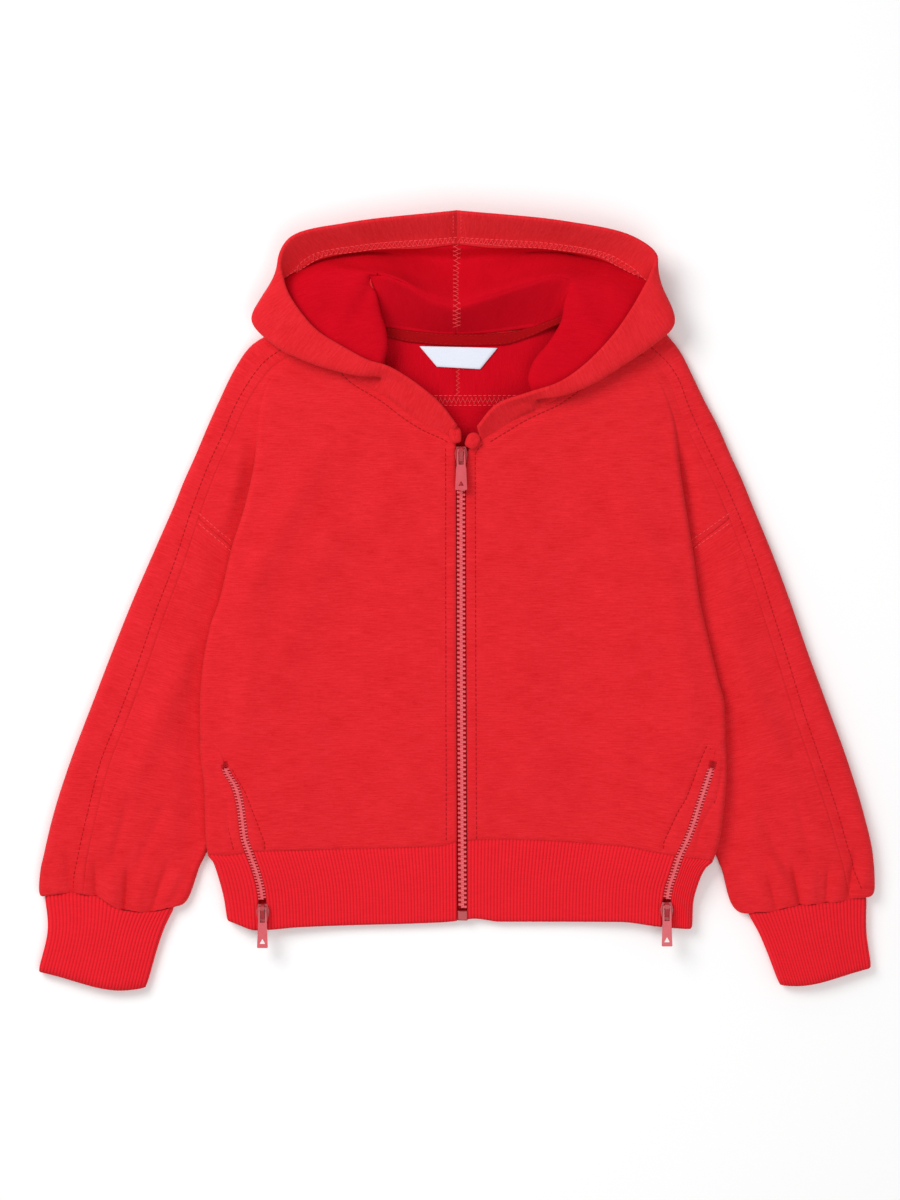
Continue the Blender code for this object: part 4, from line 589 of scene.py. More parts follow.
def speckled(name, dark, light, scale, rough, specular=0.5):
    """A hard or twisted material whose colour drifts between two tones with noise in its own space."""
    made = bpy.data.materials.new(name)
    made.use_nodes = True
    tree = made.node_tree
    shader = tree.nodes["Principled BSDF"]
    spot = tree.nodes.new("ShaderNodeTexCoord")
    ramp = tree.nodes.new("ShaderNodeValToRGB")
    ramp.color_ramp.elements[0].color = (*dark, 1)
    ramp.color_ramp.elements[1].color = (*light, 1)
    drift = stretched_noise(tree, spot.outputs["Object"], (scale, scale, scale), 2, 0.5)
    tree.links.new(drift, ramp.inputs[0])
    tree.links.new(ramp.outputs["Color"], shader.inputs["Base Color"])
    shader.inputs["Roughness"].default_value = rough
    shader.inputs["Specular IOR Level"].default_value = specular
    return made


# Dark-red thread: its darkness is painted shade of the needle holes and puckers that the stitches pull into
# the cloth.
THREAD_PAINTED_SHADE = speckled("thread_painted_shade", (0.33, 0.001, 0.004), (0.50, 0.004, 0.010), 500, 0.7, 0.2)
THREAD_PALE = speckled("thread_pale", (0.80, 0.03, 0.045), (0.92, 0.075, 0.09), 500, 0.5, 0.4)
STITCH_RINGS = np.array([(-1, 0.3), (-0.75, 0.8), (-0.3, 1), (0.3, 1), (0.75, 0.8), (1, 0.3)])
STITCH_SIDES, STITCH_RISE, STITCH_SINK = 5, 0.16, 0.08
# How far topstitching lies from the over-arm seam, the neck seam and the edge at the main zip.
SEAM_INSET, NECK_INSET, ZIP_INSET = 6.4, 4.2, {"L": 6.6, "R": 5.8}


def laid_on(grid, out, lift, plan):
    """Points and normals where a plan path meets a grid of cloth, `lift` above its mid-surface.

    Height and normal are the means of the four nearest grid points, weighted by 1/distance^2."""
    flat, normal = grid.reshape(-1, 3), out.reshape(-1, 3)
    away = ((plan[:, None, :2] - flat[None, :, :2]) ** 2).sum(axis=2)
    near = np.argpartition(away, 4, axis=1)[:, :4]
    weight = 1 / (np.take_along_axis(away, near, axis=1) + 1e-3)
    weight /= weight.sum(axis=1, keepdims=True)
    height = (flat[near, 2] * weight).sum(axis=1)
    towards = unit((normal[near] * weight[..., None]).sum(axis=1))
    return np.column_stack([plan[:, :2], height]) + towards * lift, towards


def tube_faces(rings, sides):
    """Quads between rings of points, `sides` to each ring: i, next i, next i of the ring above, i of it."""
    ring = np.arange(sides)
    low, following = np.arange(rings - 1)[:, None] * sides, (ring + 1) % sides
    return np.stack([low + ring, low + following, low + following + sides, low + ring + sides],
                    axis=-1).reshape(-1, 4)


def stitches(name, path, out, pitch=3.3, length=2.6, width=0.62, lean=0.0, thread=THREAD_PAINTED_SHADE):
    """A row of topstitching: one spindle of thread for each stitch along a path on the cloth.

    Ring s of a spindle has radius width/2 x its share and stands STITCH_RISE x (1 - s^2) proud; `lean`
    turns every other stitch the other way, in degrees, for a zigzag."""
    run = lengths(path)
    places = np.arange(pitch / 2, run[-1] - pitch / 4, pitch)
    at, up = [np.column_stack([np.interp(places, run, field[:, axis]) for axis in range(3)])
              for field in (path, out)]
    ahead = unit(np.column_stack([np.interp(places, run, np.gradient(path[:, axis])) for axis in range(3)]))
    side_on = unit(np.cross(up, ahead))
    turn = np.radians(lean) * np.where(np.arange(len(places)) % 2, 1, -1)[:, None]
    ahead, side_on = (ahead * np.cos(turn) + side_on * np.sin(turn),
                      side_on * np.cos(turn) - ahead * np.sin(turn))
    angle = np.linspace(0, 2 * math.pi, STITCH_SIDES + 1)[:-1]
    s, share = STITCH_RINGS[:, 0], STITCH_RINGS[:, 1]
    radius = share[:, None] * width / 2
    proud = STITCH_RISE * (1 - s ** 2) - STITCH_SINK
    centre = (at[:, None] + ahead[:, None] * (s * length / 2)[None, :, None]
              + up[:, None] * proud[None, :, None])
    points = (centre[:, :, None] + side_on[:, None, None] * (radius * np.cos(angle))[None, ..., None]
              + up[:, None, None] * (radius * np.sin(angle))[None, ..., None])
    ring = np.arange(STITCH_SIDES)
    first = (np.arange(len(places)) * STITCH_SIDES * len(s))[:, None]
    faces = (tube_faces(len(s), STITCH_SIDES)[None] + first[:, None]).reshape(-1, 4)
    ends = [first + ring[::-1], first + STITCH_SIDES * (len(s) - 1) + ring]
    return mesh_piece(name, points.reshape(-1, 3), [faces] + ends, thread)


# Soft folds of each front: x, y, direction (degrees), half length, width, height.
FRONT_FOLDS = {
    "L": [(-118, 52, 62, 60, 9, 1.6), (-96, 20, 70, 70, 12, 1.0), (-140, -40, 84, 60, 9, 1.0),
          (-60, 60, 35, 45, 12, 0.8), (-62, 119, -33, 30, 5, 0.9), (-30, 88, -48, 24, 7, 0.6),
          (-35, -60, 88, 80, 14, 0.7), (-100, -110, 80, 45, 11, 0.9)],
    "R": [(122, 52, 116, 60, 9, 1.6), (100, 25, 108, 70, 12, 1.0), (150, -40, 97, 60, 9, 1.0),
          (62, 62, 145, 45, 12, 0.8), (72, 126, 14, 30, 4.5, 0.9), (48, 99, -26, 26, 6, 0.8),
          (45, -70, 92, 80, 14, 0.7), (112, -110, 98, 45, 11, 0.9)],
}
# Stitched lines beside the side zips, on the front and on the back panel's part that shows: x, y.
FRONT_ZIP_LINES = {
    "L": [(-150.8, -109.4), (-141.4, -125.9), (-133.5, -146.3), (-128.9, -159), (-128.6, -163.5)],
    "R": [(170.5, -96.6), (166.4, -94.7), (161.3, -106.7), (157.9, -117), (153.2, -129.5), (147.5, -138.6),
          (138.4, -158), (137.9, -163)],
}
BACK_ZIP_LINES = {
    "L": [(-162, -113.3), (-154.1, -131.5), (-152.9, -148.7), (-149.4, -163.5)],
    "R": [(172, -97.4), (177, -100.4), (177, -110.1), (175.5, -121.5), (172.6, -130.7), (168.1, -138.6),
          (163.5, -147.6), (160.1, -160.3), (159.8, -164)],
}
FRONT_STEPS = [70, 10, 12, 8, 22]
BODY_Y = np.concatenate([np.linspace(HEM_SEAM_Y, LOOP_TOP_Y, 78), np.linspace(LOOP_TOP_Y, UNDERARM_Y, 5)[1:],
                         np.linspace(UNDERARM_Y, SHOULDER_TOP_Y, 66)[1:]])
fronts = {}
for side, sign in SIDES.items():
    grid = np.array([front_row(side, y, FRONT_STEPS) for y in BODY_Y])
    seen = np.ones(grid.shape[1])
    seen[FRONT_STEPS[0] + 4:] = 0
    seen[FRONT_STEPS[0] - 6:FRONT_STEPS[0] + 4] = np.linspace(1, 0, 10)
    x, y = grid[..., 0], grid[..., 1]
    rest = smooth(0, 9, np.abs(x - grid[:, :1, 0])) * seen
    lift = (crease(x, y, FRONT_FOLDS[side]) + undulate(x, y, 0.35, 60, 3 + sign)) * rest
    grid[..., 2] += lift
    arm_seam = over_arm_seam(side)
    grid[..., 2] -= groove(grid, beside(arm_seam, SEAM_INSET * sign), 1.3, 0.3) * seen
    grid[..., 2] -= groove(grid, np.array(FRONT_ZIP_LINES[side]), 1.5, 0.7) * (y < -92)
    edge = grid[:, 0, :2]
    low, high = edge[edge[:, 1] < 108], edge[edge[:, 1] >= 112]
    grid[..., 2] -= groove(grid, low + [sign * ZIP_INSET[side], 0], 1.3, 0.35)
    grid[..., 2] -= groove(grid, beside(high, NECK_INSET * -sign), 1.3, 0.35) * seen
    piece = shell(f"front_{side}", grid, FLEECE, JERSEY_FACE, up=sign, inside=JERSEY_INSIDE)
    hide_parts(f"front_panel_{side}")
    declare(piece, grid, "laid", ["back_body"])
    fronts[side] = grid

# ---------------------------------------------------------------- back panel
# One panel of the same jersey. It lies flat on the surface, turns up round the side folds and comes
# forward as far as the side zips and side seams. At the top it is sewn to the yoke.

BACK_TOP_Y = 114.0
# The seam under the yoke, from the centre to the strip's back seam: t, y.
YOKE_SEAM = {
    "L": [(0, 137), (58, 137), (69, 136.5), (74.5, 136.2), (82, 135.6), (89, 134.5), (98, 133.4), (108, 132),
          (121, 129.5), (132, 124.5)],
    "R": [(0, 137), (60, 137), (74, 136.5), (79.5, 136.2), (88, 135.6), (96, 134.5), (106, 133.4), (118, 132),
          (132, 129.5), (142.5, 124.5)],
}


def back_edge(side, y):
    """Where the back panel ends above the underarm: the armhole, then the strip's back seam."""
    if y <= ARMHOLE_Y:
        corner, root = SLEEVE[side][0][0], SLEEVE[side][0][4]
        share = max(0.0, (y - UNDERARM_Y) / (ARMHOLE_Y - UNDERARM_Y))
        return root - 5 + (corner - root + 5) * share
    return column(SHOULDER[side], 5, 4, y)


def back_row(y, steps):
    """One row of the back panel, from the left seam round to the right one.

    Its points crowd on the side folds: `steps` on the part that shows, on the fold and underneath."""
    halves = []
    for side in SIDES:
        if y > LOOP_TOP_Y:
            outer = back_edge(side, y)
            path = np.column_stack([np.linspace(outer, 0, 60), np.full(60, FLOOR)])
            stations = [SEAM, SEAM + 6, SEAM + 12, lengths(path)[-1]]
        else:
            path, fold_run = loop_path(side, y)
            cut, gap = seam_place(side, y, path, fold_run)
            start = cut + gap
            stations = [start, max(fold_run - 4.9, start + 4), max(fold_run + 4.9, start + 8),
                        lengths(path)[-1]]
        halves.append(place(side, zoned(path, stations, steps), y))
    return np.vstack([halves[0], halves[1][-2::-1]])


rows = np.concatenate([np.linspace(HEM_SEAM_Y, LOOP_TOP_Y, 70), np.linspace(15, BACK_TOP_Y, 34)])
grid = np.array([back_row(y, [14, 12, 50]) for y in rows])
# The top follows the yoke's seam, and its corners the strips' back seams.
corner_y = 124.8
upper = []
for u in np.linspace(0, 1, 9)[1:]:
    row = grid[-1].copy()
    for side, sign in SIDES.items():
        half = np.flatnonzero(row[:, 0] * sign > -1e-6)
        edge_y = BACK_TOP_Y + (corner_y - BACK_TOP_Y) * u
        t = row[half, 0] / row[half, 0][np.abs(row[half, 0]).argmax()]
        row[half, 0] = sign * t * back_edge(side, edge_y)
        yoke_y = np.interp(t * back_edge(side, corner_y), *np.array(YOKE_SEAM[side]).T)
        row[half, 1] = BACK_TOP_Y + (yoke_y - SEAM * 2 - BACK_TOP_Y) * u
    upper.append(row)
grid = np.vstack([grid, np.array(upper)])
shows = (grid[..., 2] > 7.9) & (grid[..., 1] < -88)
for side in SIDES:
    grid[..., 2] -= groove(grid, np.array(BACK_ZIP_LINES[side]), 1.5, 0.7) * shows
grid[..., 2] += crease(grid[..., 0], grid[..., 1], [(-161.5, -104.5, 10, 9, 2.2, 1.1)]) * shows
piece = shell("back_body", grid, FLEECE, JERSEY_FACE, up=-1, inside=JERSEY_INSIDE)
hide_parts("back_panel")
declare(piece, grid, "laid", ["floor"])
back_grid = grid

# ---------------------------------------------------------------- over-arm strips and yoke
# A strip runs over each arm from the cuff up over the shoulder, where it turns across the back of the
# neck as half of the yoke. A row of topstitching holds the seam beside it.

# The half yoke: neckline t, y, z; lower seam t, y; how far its columns crowd to the neckline.
YOKE = {
    "L": [(0.1, 181.3, 0.9, 0.1, 137, 0), (30, 183, 0.9, 30, 137, 0), (58, 187, 0.9, 58, 137, 0.5),
          (69, 188.6, 1.3, 69, 136.5, 1.0)],
    "R": [(0.1, 181.3, 0.9, 0.1, 137, 0), (30, 183, 0.9, 30, 137, 0), (60, 187, 0.9, 60, 137, 0.5),
          (74, 189.0, 1.3, 74, 136.5, 1.0)],
}
# Between yoke and front seam: front t, y, z; shoulder fold t, y; back seam t, y; fold radius, turn.
NECK_SIDE = {
    "L": [(74, 186, 3.5, 74.4, 190.2, 74.5, 136.2, 2.6, 60), (78, 186, 6.1, 79, 190.5, 78.5, 136, 2.6, 120),
          (81, 186.2, 6.2, 83.4, 190.6, 82, 135.6, 2.6, 180),
          (83.5, 178.5, 8.4, 91, 190, 89, 134.5, 3.4, 180),
          (84.5, 169.2, 9.5, 104, 187.5, 98, 133.4, 3.8, 180)],
    "R": [(79, 186.4, 3.5, 79.4, 190.6, 79.5, 136.2, 2.6, 60),
          (83, 186.4, 6.1, 84, 190.9, 83.5, 136, 2.6, 120),
          (86.5, 186.6, 6.2, 89, 191, 88, 135.6, 2.6, 180), (91, 178.5, 8.4, 99, 190.4, 96, 134.5, 3.4, 180),
          (92.5, 169.2, 9.5, 116, 188, 106, 133.4, 3.8, 180)],
}
# The seam of sleeve and cuff: t, y.
CUFF_SEAM = {
    "L": [(187.6, -201.2), (205, -205.3), (222.4, -204.6), (241.9, -194.8), (259.3, -192.2), (278.7, -194.8)],
    "R": [(193, -206.2), (199.7, -206.2), (215.7, -203.9), (226.5, -201.2), (240.2, -199.9), (253.9, -198.5),
          (268, -195.8), (278.7, -194.8)],
}
STRIP_TOP, STRIP_TURN, STRIP_LOW = 12, 12, 10
STRIP_END = STRIP_TOP + STRIP_TURN + STRIP_LOW - 1
INNER_LOW, INNER_TURN, FRONT_LOW = 24, 12, 54
FOLD_MIDDLE = STRIP_END + INNER_LOW + INNER_TURN // 2
# Gathers and folds of each sleeve: x, y, direction (degrees), half length, width, height.
SLEEVE_FOLDS = {
    "L": [(-259, -182, 98, 16, 2.0, -2.6), (-242, -188, 93, 13, 1.8, -2.4), (-250, -186, 95, 12, 4.0, 1.6),
          (-222, -193, 86, 16, 2.0, -3.2), (-231, -190, 90, 13, 4.2, 1.8), (-213, -193, 80, 14, 4.2, 1.7),
          (-200, -192, 72, 20, 2.6, -1.8), (-268, -186, 100, 12, 3.5, 1.2), (-192, -190, 64, 14, 3.2, 1.3),
          (-215, -110, 70, 60, 9, 1.8), (-190, -60, 66, 55, 9, 1.6), (-236, -130, 74, 45, 8, 1.4),
          (-225, -150, 76, 24, 3.5, -1.4), (-205, -155, 66, 24, 4, -1.2)],
    "R": [(264, -182, 82, 16, 2.0, -2.4), (248, -190, 88, 12, 1.8, -2.2), (256, -187, 85, 12, 4.0, 1.5),
          (228, -191, 100, 16, 2.0, -3.4), (238, -190, 92, 13, 4.2, 1.7), (219, -186, 118, 18, 4.0, 2.0),
          (212, -194, 104, 14, 2.2, -2.0), (203, -194, 110, 14, 3.5, 1.3), (272, -184, 80, 12, 3.2, 1.1),
          (220, -110, 110, 60, 9, 1.8), (196, -60, 114, 55, 9, 1.6), (242, -130, 106, 45, 8, 1.4),
          (232, -150, 104, 24, 3.5, -1.4), (212, -160, 114, 24, 4, -1.2)],
}


def shoulder_section(side, front, fold, back, radius, turn=180):
    """A strip section on the shoulder: front seam, round the outer fold, to the back seam."""
    front, fold, back = np.array(front, float), np.array(fold, float), np.array(back, float)
    outward = fold - front[:2]
    outward /= np.linalg.norm(outward)
    centre = fold - outward * (radius + FLEECE / 2)
    angle = math.radians(turn)
    share = np.linspace(0, 1, STRIP_TOP)[:, None]
    top = front + (np.append(centre, FLOOR + 2 * radius) - front) * share
    bend = arc((0, FLOOR + radius), radius, angle - math.pi / 2, -angle, STRIP_TURN)
    if turn < 180:
        tip = arc((0, FLOOR + radius), radius, angle - math.pi / 2, 0, 1)[0]
        raised = tip + np.array([math.cos(angle), math.sin(angle)]) * 1.5 * (1 - share)
        top = np.column_stack([centre[0] + outward[0] * raised[:, 0], centre[1] + outward[1] * raised[:, 0],
                               raised[:, 1]])
    curl = np.column_stack([centre[0] + outward[0] * bend[:, 0], centre[1] + outward[1] * bend[:, 0],
                            bend[:, 1]])
    plan = centre + (back - centre) * np.linspace(0, 1, STRIP_LOW + 1)[1:, None]
    points = np.vstack([top, curl, np.column_stack([plan, np.full(STRIP_LOW, FLOOR)])])
    return points * [SIDES[side], 1, 1]


def yoke_section(side, neck, low, crowd):
    """A yoke section from the neckline down to the back seam, its points crowded to the neck."""
    even = np.linspace(0, 1, STRIP_END + 1)
    crowded = np.interp(even * STRIP_END, [0, STRIP_TOP + STRIP_TURN - 1, STRIP_END], [0, 0.09, 1])
    share = even * (1 - crowd) + crowded * crowd
    line = np.array(neck) + (np.append(low, FLOOR) - neck) * share[:, None]
    line[:, 2] = FLOOR + (neck[2] - FLOOR) * np.clip(1 - share * 4, 0, 1) ** 2
    return line * [SIDES[side], 1, 1]


def sleeve_section(side, row, near, gather):
    """A closed sleeve section: front seam, outwards over the strip, round, and back on top.

    `near` is 1 where the section lies on the cuff seam and 0 well above it."""
    seam_t, seam_y, edge_t, edge_y, inner_t, inner_y, outer_r, inner_r = row
    plan = np.array([(edge_t, edge_y), (seam_t, seam_y), (inner_t, inner_y)])
    run = lengths(plan)
    height, half = seam_height(seam_y), FLEECE / 2

    def top_at(u):
        """Height of the top layer at distance u from the outer fold, with the cuff's gathers."""
        z = ease([0, outer_r, run[1], run[1] * 0.45 + run[2] * 0.55, run[2] - inner_r, run[2]],
                 [FLOOR + 2 * outer_r - 0.3, FLOOR + 2 * outer_r, height, height * 0.96,
                  FLOOR + 2 * inner_r, FLOOR + 2 * inner_r], u)
        wave = gather * np.sin(9 * np.pi * u / run[2]) * np.sin(np.pi * u / run[2])
        return pressed(side, np.interp(u, run, plan[:, 0]), seam_y, z) + wave

    strip_top = np.linspace(run[1], half + outer_r, STRIP_TOP)
    outer = arc((half + outer_r, FLOOR + outer_r), outer_r, math.pi / 2, math.pi, STRIP_TURN)
    strip_low = np.linspace(half + outer_r, run[1], STRIP_LOW + 1)[1:]
    inner_low = np.linspace(run[1], run[2] - half - inner_r, INNER_LOW + 1)[1:]
    inner = arc((run[2] - half - inner_r, FLOOR + inner_r), inner_r, -math.pi / 2, math.pi, INNER_TURN)
    front_low = np.linspace(run[2] - half - inner_r, run[1], FRONT_LOW + 1)[1:]
    u = np.concatenate([strip_top, outer[:, 0], strip_low, inner_low, inner[:, 0], front_low])
    z = np.concatenate([top_at(strip_top), outer[:, 1], np.full(STRIP_LOW + INNER_LOW, FLOOR), inner[:, 1],
                        top_at(front_low)])
    t = np.interp(u, run, plan[:, 0])
    y = np.interp(u, run, plan[:, 1]) * (1 - near) + column(CUFF_SEAM[side], 0, 1, t) * near
    return np.column_stack([SIDES[side] * t, y, z])


def through(points, per_span):
    """A Catmull-Rom curve through an array of points, with steps spaced by the root of each chord."""
    points = np.asarray(points, float)
    knots = np.concatenate([[0], np.cumsum(np.linalg.norm(np.diff(points, axis=0), axis=1) ** 0.5 + 1e-6)])
    slopes = np.diff(points, axis=0) / np.diff(knots)[:, None]
    weights = (np.diff(knots)[1:] / (knots[2:] - knots[:-2]))[:, None]
    tangents = np.vstack([slopes[:1], slopes[:-1] * weights + slopes[1:] * (1 - weights), slopes[-1:]])
    out = [points[:1]]
    for span, count in enumerate(per_span):
        u = (np.arange(1, count + 1) / count)[:, None]
        width, rise = knots[span + 1] - knots[span], points[span + 1] - points[span]
        out.append(points[span] + rise * (3 * u ** 2 - 2 * u ** 3)
                   + width * (tangents[span] * u * (1 - u) ** 2 - tangents[span + 1] * u ** 2 * (1 - u)))
    return np.vstack(out)


def sleeve_rings(side):
    """All the sleeve's sections below the armhole, close together, with its folds."""
    table = SLEEVE[side]
    last = table[-1][1]
    seam_y = np.concatenate([np.linspace(ARMHOLE_Y, last + 30, 86), np.linspace(last + 30, last, 22)[1:]])
    rings = []
    for y in seam_y:
        row = [float(column(table, 1, index, y)) for index in range(8)]
        near = float(smooth(-last - 22, -last, -y))
        rings.append(sleeve_section(side, row, near, 0.5 * near))
    rings = np.array(rings)
    x, y = rings[..., 0], rings[..., 1]
    seen = np.zeros(rings.shape[1])
    seen[:STRIP_TOP + 3] = 1
    seen[FOLD_MIDDLE + 6:] = 1
    away = smooth(2, 14, np.abs(x) - fold_at(side, y)) * seen
    rings[..., 2] += (crease(x, y, SLEEVE_FOLDS[side]) + undulate(x, y, 0.35, 45, 11 + SIDES[side])) * away
    arm_seam = over_arm_seam(side)
    rings[..., 2] -= groove(rings, beside(arm_seam, SEAM_INSET * SIDES[side]), 1.3, 0.35) * seen
    return rings


sleeves, strips = {}, {}
for side, sign in SIDES.items():
    coarse = [yoke_section(side, np.array(row[:3], float), np.array(row[3:5], float), row[5])
              for row in YOKE[side]]
    coarse += [shoulder_section(side, row[:3], row[3:5], row[5:7], row[7], row[8]) for row in NECK_SIDE[side]]
    upper = []
    for y in np.linspace(SHOULDER_TOP_Y, ARMHOLE_Y, 46)[:-1]:
        seam_t, edge_t, edge_y, back_t, back_y = [float(column(SHOULDER[side], 0, index, y))
                                                  for index in range(1, 6)]
        upper.append(shoulder_section(side, (seam_t, y, seam_height(y)), (edge_t, edge_y),
                                      (back_t, back_y), 4.0))
    coarse = np.array(coarse + [upper[0], upper[4]])
    neck = np.stack([through(coarse[:, index], [10, 10, 5, 5, 5, 5, 6, 6, 8])
                     for index in range(coarse.shape[1])], axis=1)
    sleeves[side] = sleeve_rings(side)
    grid = np.vstack([neck[:-1], np.array(upper), sleeves[side][:, :STRIP_END + 1]])
    grid[:, 0] += unit(grid[:, 1] - grid[:, 0]) * SEAM
    piece = shell(f"strip_{side}", grid, FLEECE, JERSEY_FACE, up=-sign, inside=JERSEY_INSIDE)
    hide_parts(f"over_arm_{side}")
    strips[side] = (piece, grid)

# ---------------------------------------------------------------- sleeves
# Each sleeve has a front and a back panel, seamed under the arm, and is set into a dropped armhole.
# It lies folded flat, is gathered into the cuff, and the body's edge lies on its inner side.

for side, sign in SIDES.items():
    ring = sleeves[side].copy()
    ring[0] += unit(ring[1] - ring[0]) * 0.5
    ring[:, STRIP_END] += unit(ring[:, STRIP_END + 1] - ring[:, STRIP_END]) * SEAM
    ring[:, -1] += unit(ring[:, -2] - ring[:, -1]) * SEAM
    for name, grid in (("back", ring[:, STRIP_END:FOLD_MIDDLE + 1]), ("front", ring[:, FOLD_MIDDLE:])):
        piece = shell(f"arm_{name}_{side}", grid, FLEECE, JERSEY_FACE, up=-sign)
        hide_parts(f"sleeve_{name}_{side}")
        declare(piece, grid, "folded" if name == "front" else "laid", ["floor"])

# ---------------------------------------------------------------- rib cuffs and hem rib
# Rib knit, 1 x 1: round ribs that run along the sleeve and down the body, with narrow grooves between
# them, and painted shade that darkens the rib's colour in the grooves. The cuffs are closed tubes; the hem
# rib is in three lengths, parted at the side zips.

RIB = 2.2
RIB_LIGHT, RIB_DARK = (0.869, 0.0113, 0.0246), (0.729, 0.0056, 0.0150)
RIB_FACE = cloth_material("rib_face", RIB_LIGHT, RIB_DARK, 0.2, 0.9, 0.06, 0.25)
rib_tree = RIB_FACE.node_tree
rib_shader = rib_tree.nodes["Principled BSDF"]
knit_colour = rib_shader.inputs["Base Color"].links[0].from_socket
# Painted shade: the rib's colour is scaled from 1.0 on the crests down to 0.70 in the grooves, read from the
# ridge height attribute.
ridge_height = rib_tree.nodes.new("ShaderNodeAttribute")
ridge_height.attribute_name = "ridge"
painted_groove_shade = rib_tree.nodes.new("ShaderNodeMapRange")
rib_tree.links.new(ridge_height.outputs["Fac"], painted_groove_shade.inputs["Value"])
for name, value in (("From Min", -0.45), ("From Max", 0.2), ("To Min", 0.70), ("To Max", 1.0)):
    painted_groove_shade.inputs[name].default_value = value
shaded = rib_tree.nodes.new("ShaderNodeVectorMath")
shaded.operation = "SCALE"
rib_tree.links.new(knit_colour, shaded.inputs[0])
rib_tree.links.new(painted_groove_shade.outputs["Result"], shaded.inputs["Scale"])
rib_tree.links.new(shaded.outputs["Vector"], rib_shader.inputs["Base Color"])
PER_RIB = 8
# The cuffs: outer edge t, y; inner edge t, y; sway of the row along the sleeve. The first row follows
# the cuff seam instead.
CUFF = {
    "L": [(276.5, -196.0, 190, -200.6, 0), (274.7, -218, 197.5, -219.5, 1.0),
          (281, -245.5, 208.5, -256, -5.0)],
    "R": [(274.8, -197.1, 195.5, -205.4, 0), (274.8, -219, 204, -223, -0.8),
          (278, -243, 216.5, -254.5, -3.5)],
}
CUFF_RIBS, CUFF_RADIUS, RIB_HEIGHT = 32, 2.9, 0.72
HEM_RIBS, BACK_SIDE_RIBS, BACK_RIBS = 59, 9, 150


def ribbing(count, closed=False):
    """Height of each column of `count` ribs: |sin(pi n)|^0.7 - 0.5, n counting ribs."""
    n = np.arange(count * PER_RIB + (0 if closed else 1)) / PER_RIB
    return RIB_HEIGHT * (np.abs(np.sin(np.pi * n)) ** 0.7 - 0.5)


def cuff_ring(side, row, index):
    """A cuff section as a closed run of evenly spaced points, as many as the ribs all round."""
    edge_t, edge_y, inner_t, inner_y, sway = row
    width = math.hypot(edge_t - inner_t, edge_y - inner_y)
    reach = RIB / 2 + CUFF_RADIUS
    top = np.linspace(reach, width - reach, 60)
    turn = arc((width - reach, reach), CUFF_RADIUS, math.pi / 2, -math.pi, 16)
    low = np.linspace(width - reach, reach, 40)[1:]
    close = arc((reach, reach), CUFF_RADIUS, -math.pi / 2, -math.pi, 16)
    share = (top - reach) / (width - 2 * reach)
    dome = RIB / 2 + 2 * CUFF_RADIUS + 1.2 * np.sin(np.pi * share)
    u = np.concatenate([top, turn[:, 0], low, close[:, 0]])
    z = np.concatenate([dome, turn[:, 1], np.full(39, RIB / 2), close[:, 1]])
    run = lengths(np.column_stack([u, z]))
    places = np.linspace(0, run[-1], (2 * CUFF_RIBS + 4) * PER_RIB + 1)[:-1]
    u, z = np.interp(places, run, u) / width, np.interp(places, run, z)
    t = edge_t + (inner_t - edge_t) * u
    y = edge_y + (inner_y - edge_y) * u + sway * np.sin(np.pi * np.clip(u, 0, 1) ** 1.6)
    if index == 0:
        y = column(CUFF_SEAM[side], 0, 1, t) - 0.9
    return np.column_stack([SIDES[side] * t, y, z])


for side, sign in SIDES.items():
    coarse = np.array([cuff_ring(side, row, index) for index, row in enumerate(CUFF[side])])
    ring = np.stack([through(coarse[:, index], [10, 12]) for index in range(coarse.shape[1])], axis=1)
    ridge = np.broadcast_to(ribbing(2 * CUFF_RIBS + 4, closed=True), ring.shape[:2]).copy()
    # The rows at the cuff seam and at the cuff's end sink lower; through the ridge attribute this also
    # darkens them with painted shade.
    ridge[-2:] -= np.array([[0.15], [0.45]])
    ridge[:1] -= 0.3
    piece = shell(f"cuff_rib_{side}", ring, RIB - 0.4, RIB_FACE, relief=ridge, closed=True,
                  up=sign)
    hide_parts(f"cuff_{side}")
    declare(piece, ring, "folded", ["floor"], closed=True)

HEM_Y = np.concatenate([[HEM_SEAM_Y - 0.35, HEM_SEAM_Y - 1.5], np.linspace(-170, -209, 11),
                        [-211.5, -213, HEM_END_Y]])
hems = {}
for side, sign in SIDES.items():
    grid = []
    for y in HEM_Y:
        path, fold_run = loop_path(side, y)
        cut, gap = seam_place(side, y, path, fold_run)
        grid.append(place(side, zoned(path, [0, cut - gap], [HEM_RIBS * PER_RIB]), y))
    grid = np.array(grid)
    ridge = np.broadcast_to(ribbing(HEM_RIBS), grid.shape[:2]).copy()
    # The rows at the hem seam and at the lower edge sink lower and, through the ridge attribute, darken:
    # painted shade.
    ridge[0] -= 0.5
    ridge[-2:] -= np.array([[0.15], [0.5]])
    piece = shell(f"hem_front_{side}", grid, RIB - 0.4, RIB_FACE, relief=ridge, up=-sign)
    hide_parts(f"hem_rib_front_{side}")
    declare(piece, grid, "laid", ["hem_back"])
    hems[side] = grid
grid = []
for y in HEM_Y:
    halves = []
    for side in SIDES:
        path, fold_run = loop_path(side, y)
        cut, gap = seam_place(side, y, path, fold_run)
        stations = [cut + gap, fold_run - 3, lengths(path)[-1]]
        steps = [BACK_SIDE_RIBS * PER_RIB, BACK_RIBS // 2 * PER_RIB]
        halves.append(place(side, zoned(path, stations, steps), y))
    grid.append(np.vstack([halves[0], halves[1][-2::-1]]))
grid = np.array(grid)
ridge = np.broadcast_to(ribbing(2 * BACK_SIDE_RIBS + BACK_RIBS), grid.shape[:2]).copy()
# The rows at the hem seam and at the lower edge sink lower and, through the ridge attribute, darken: painted
# shade.
ridge[0] -= 0.5
ridge[-2:] -= np.array([[0.15], [0.5]])
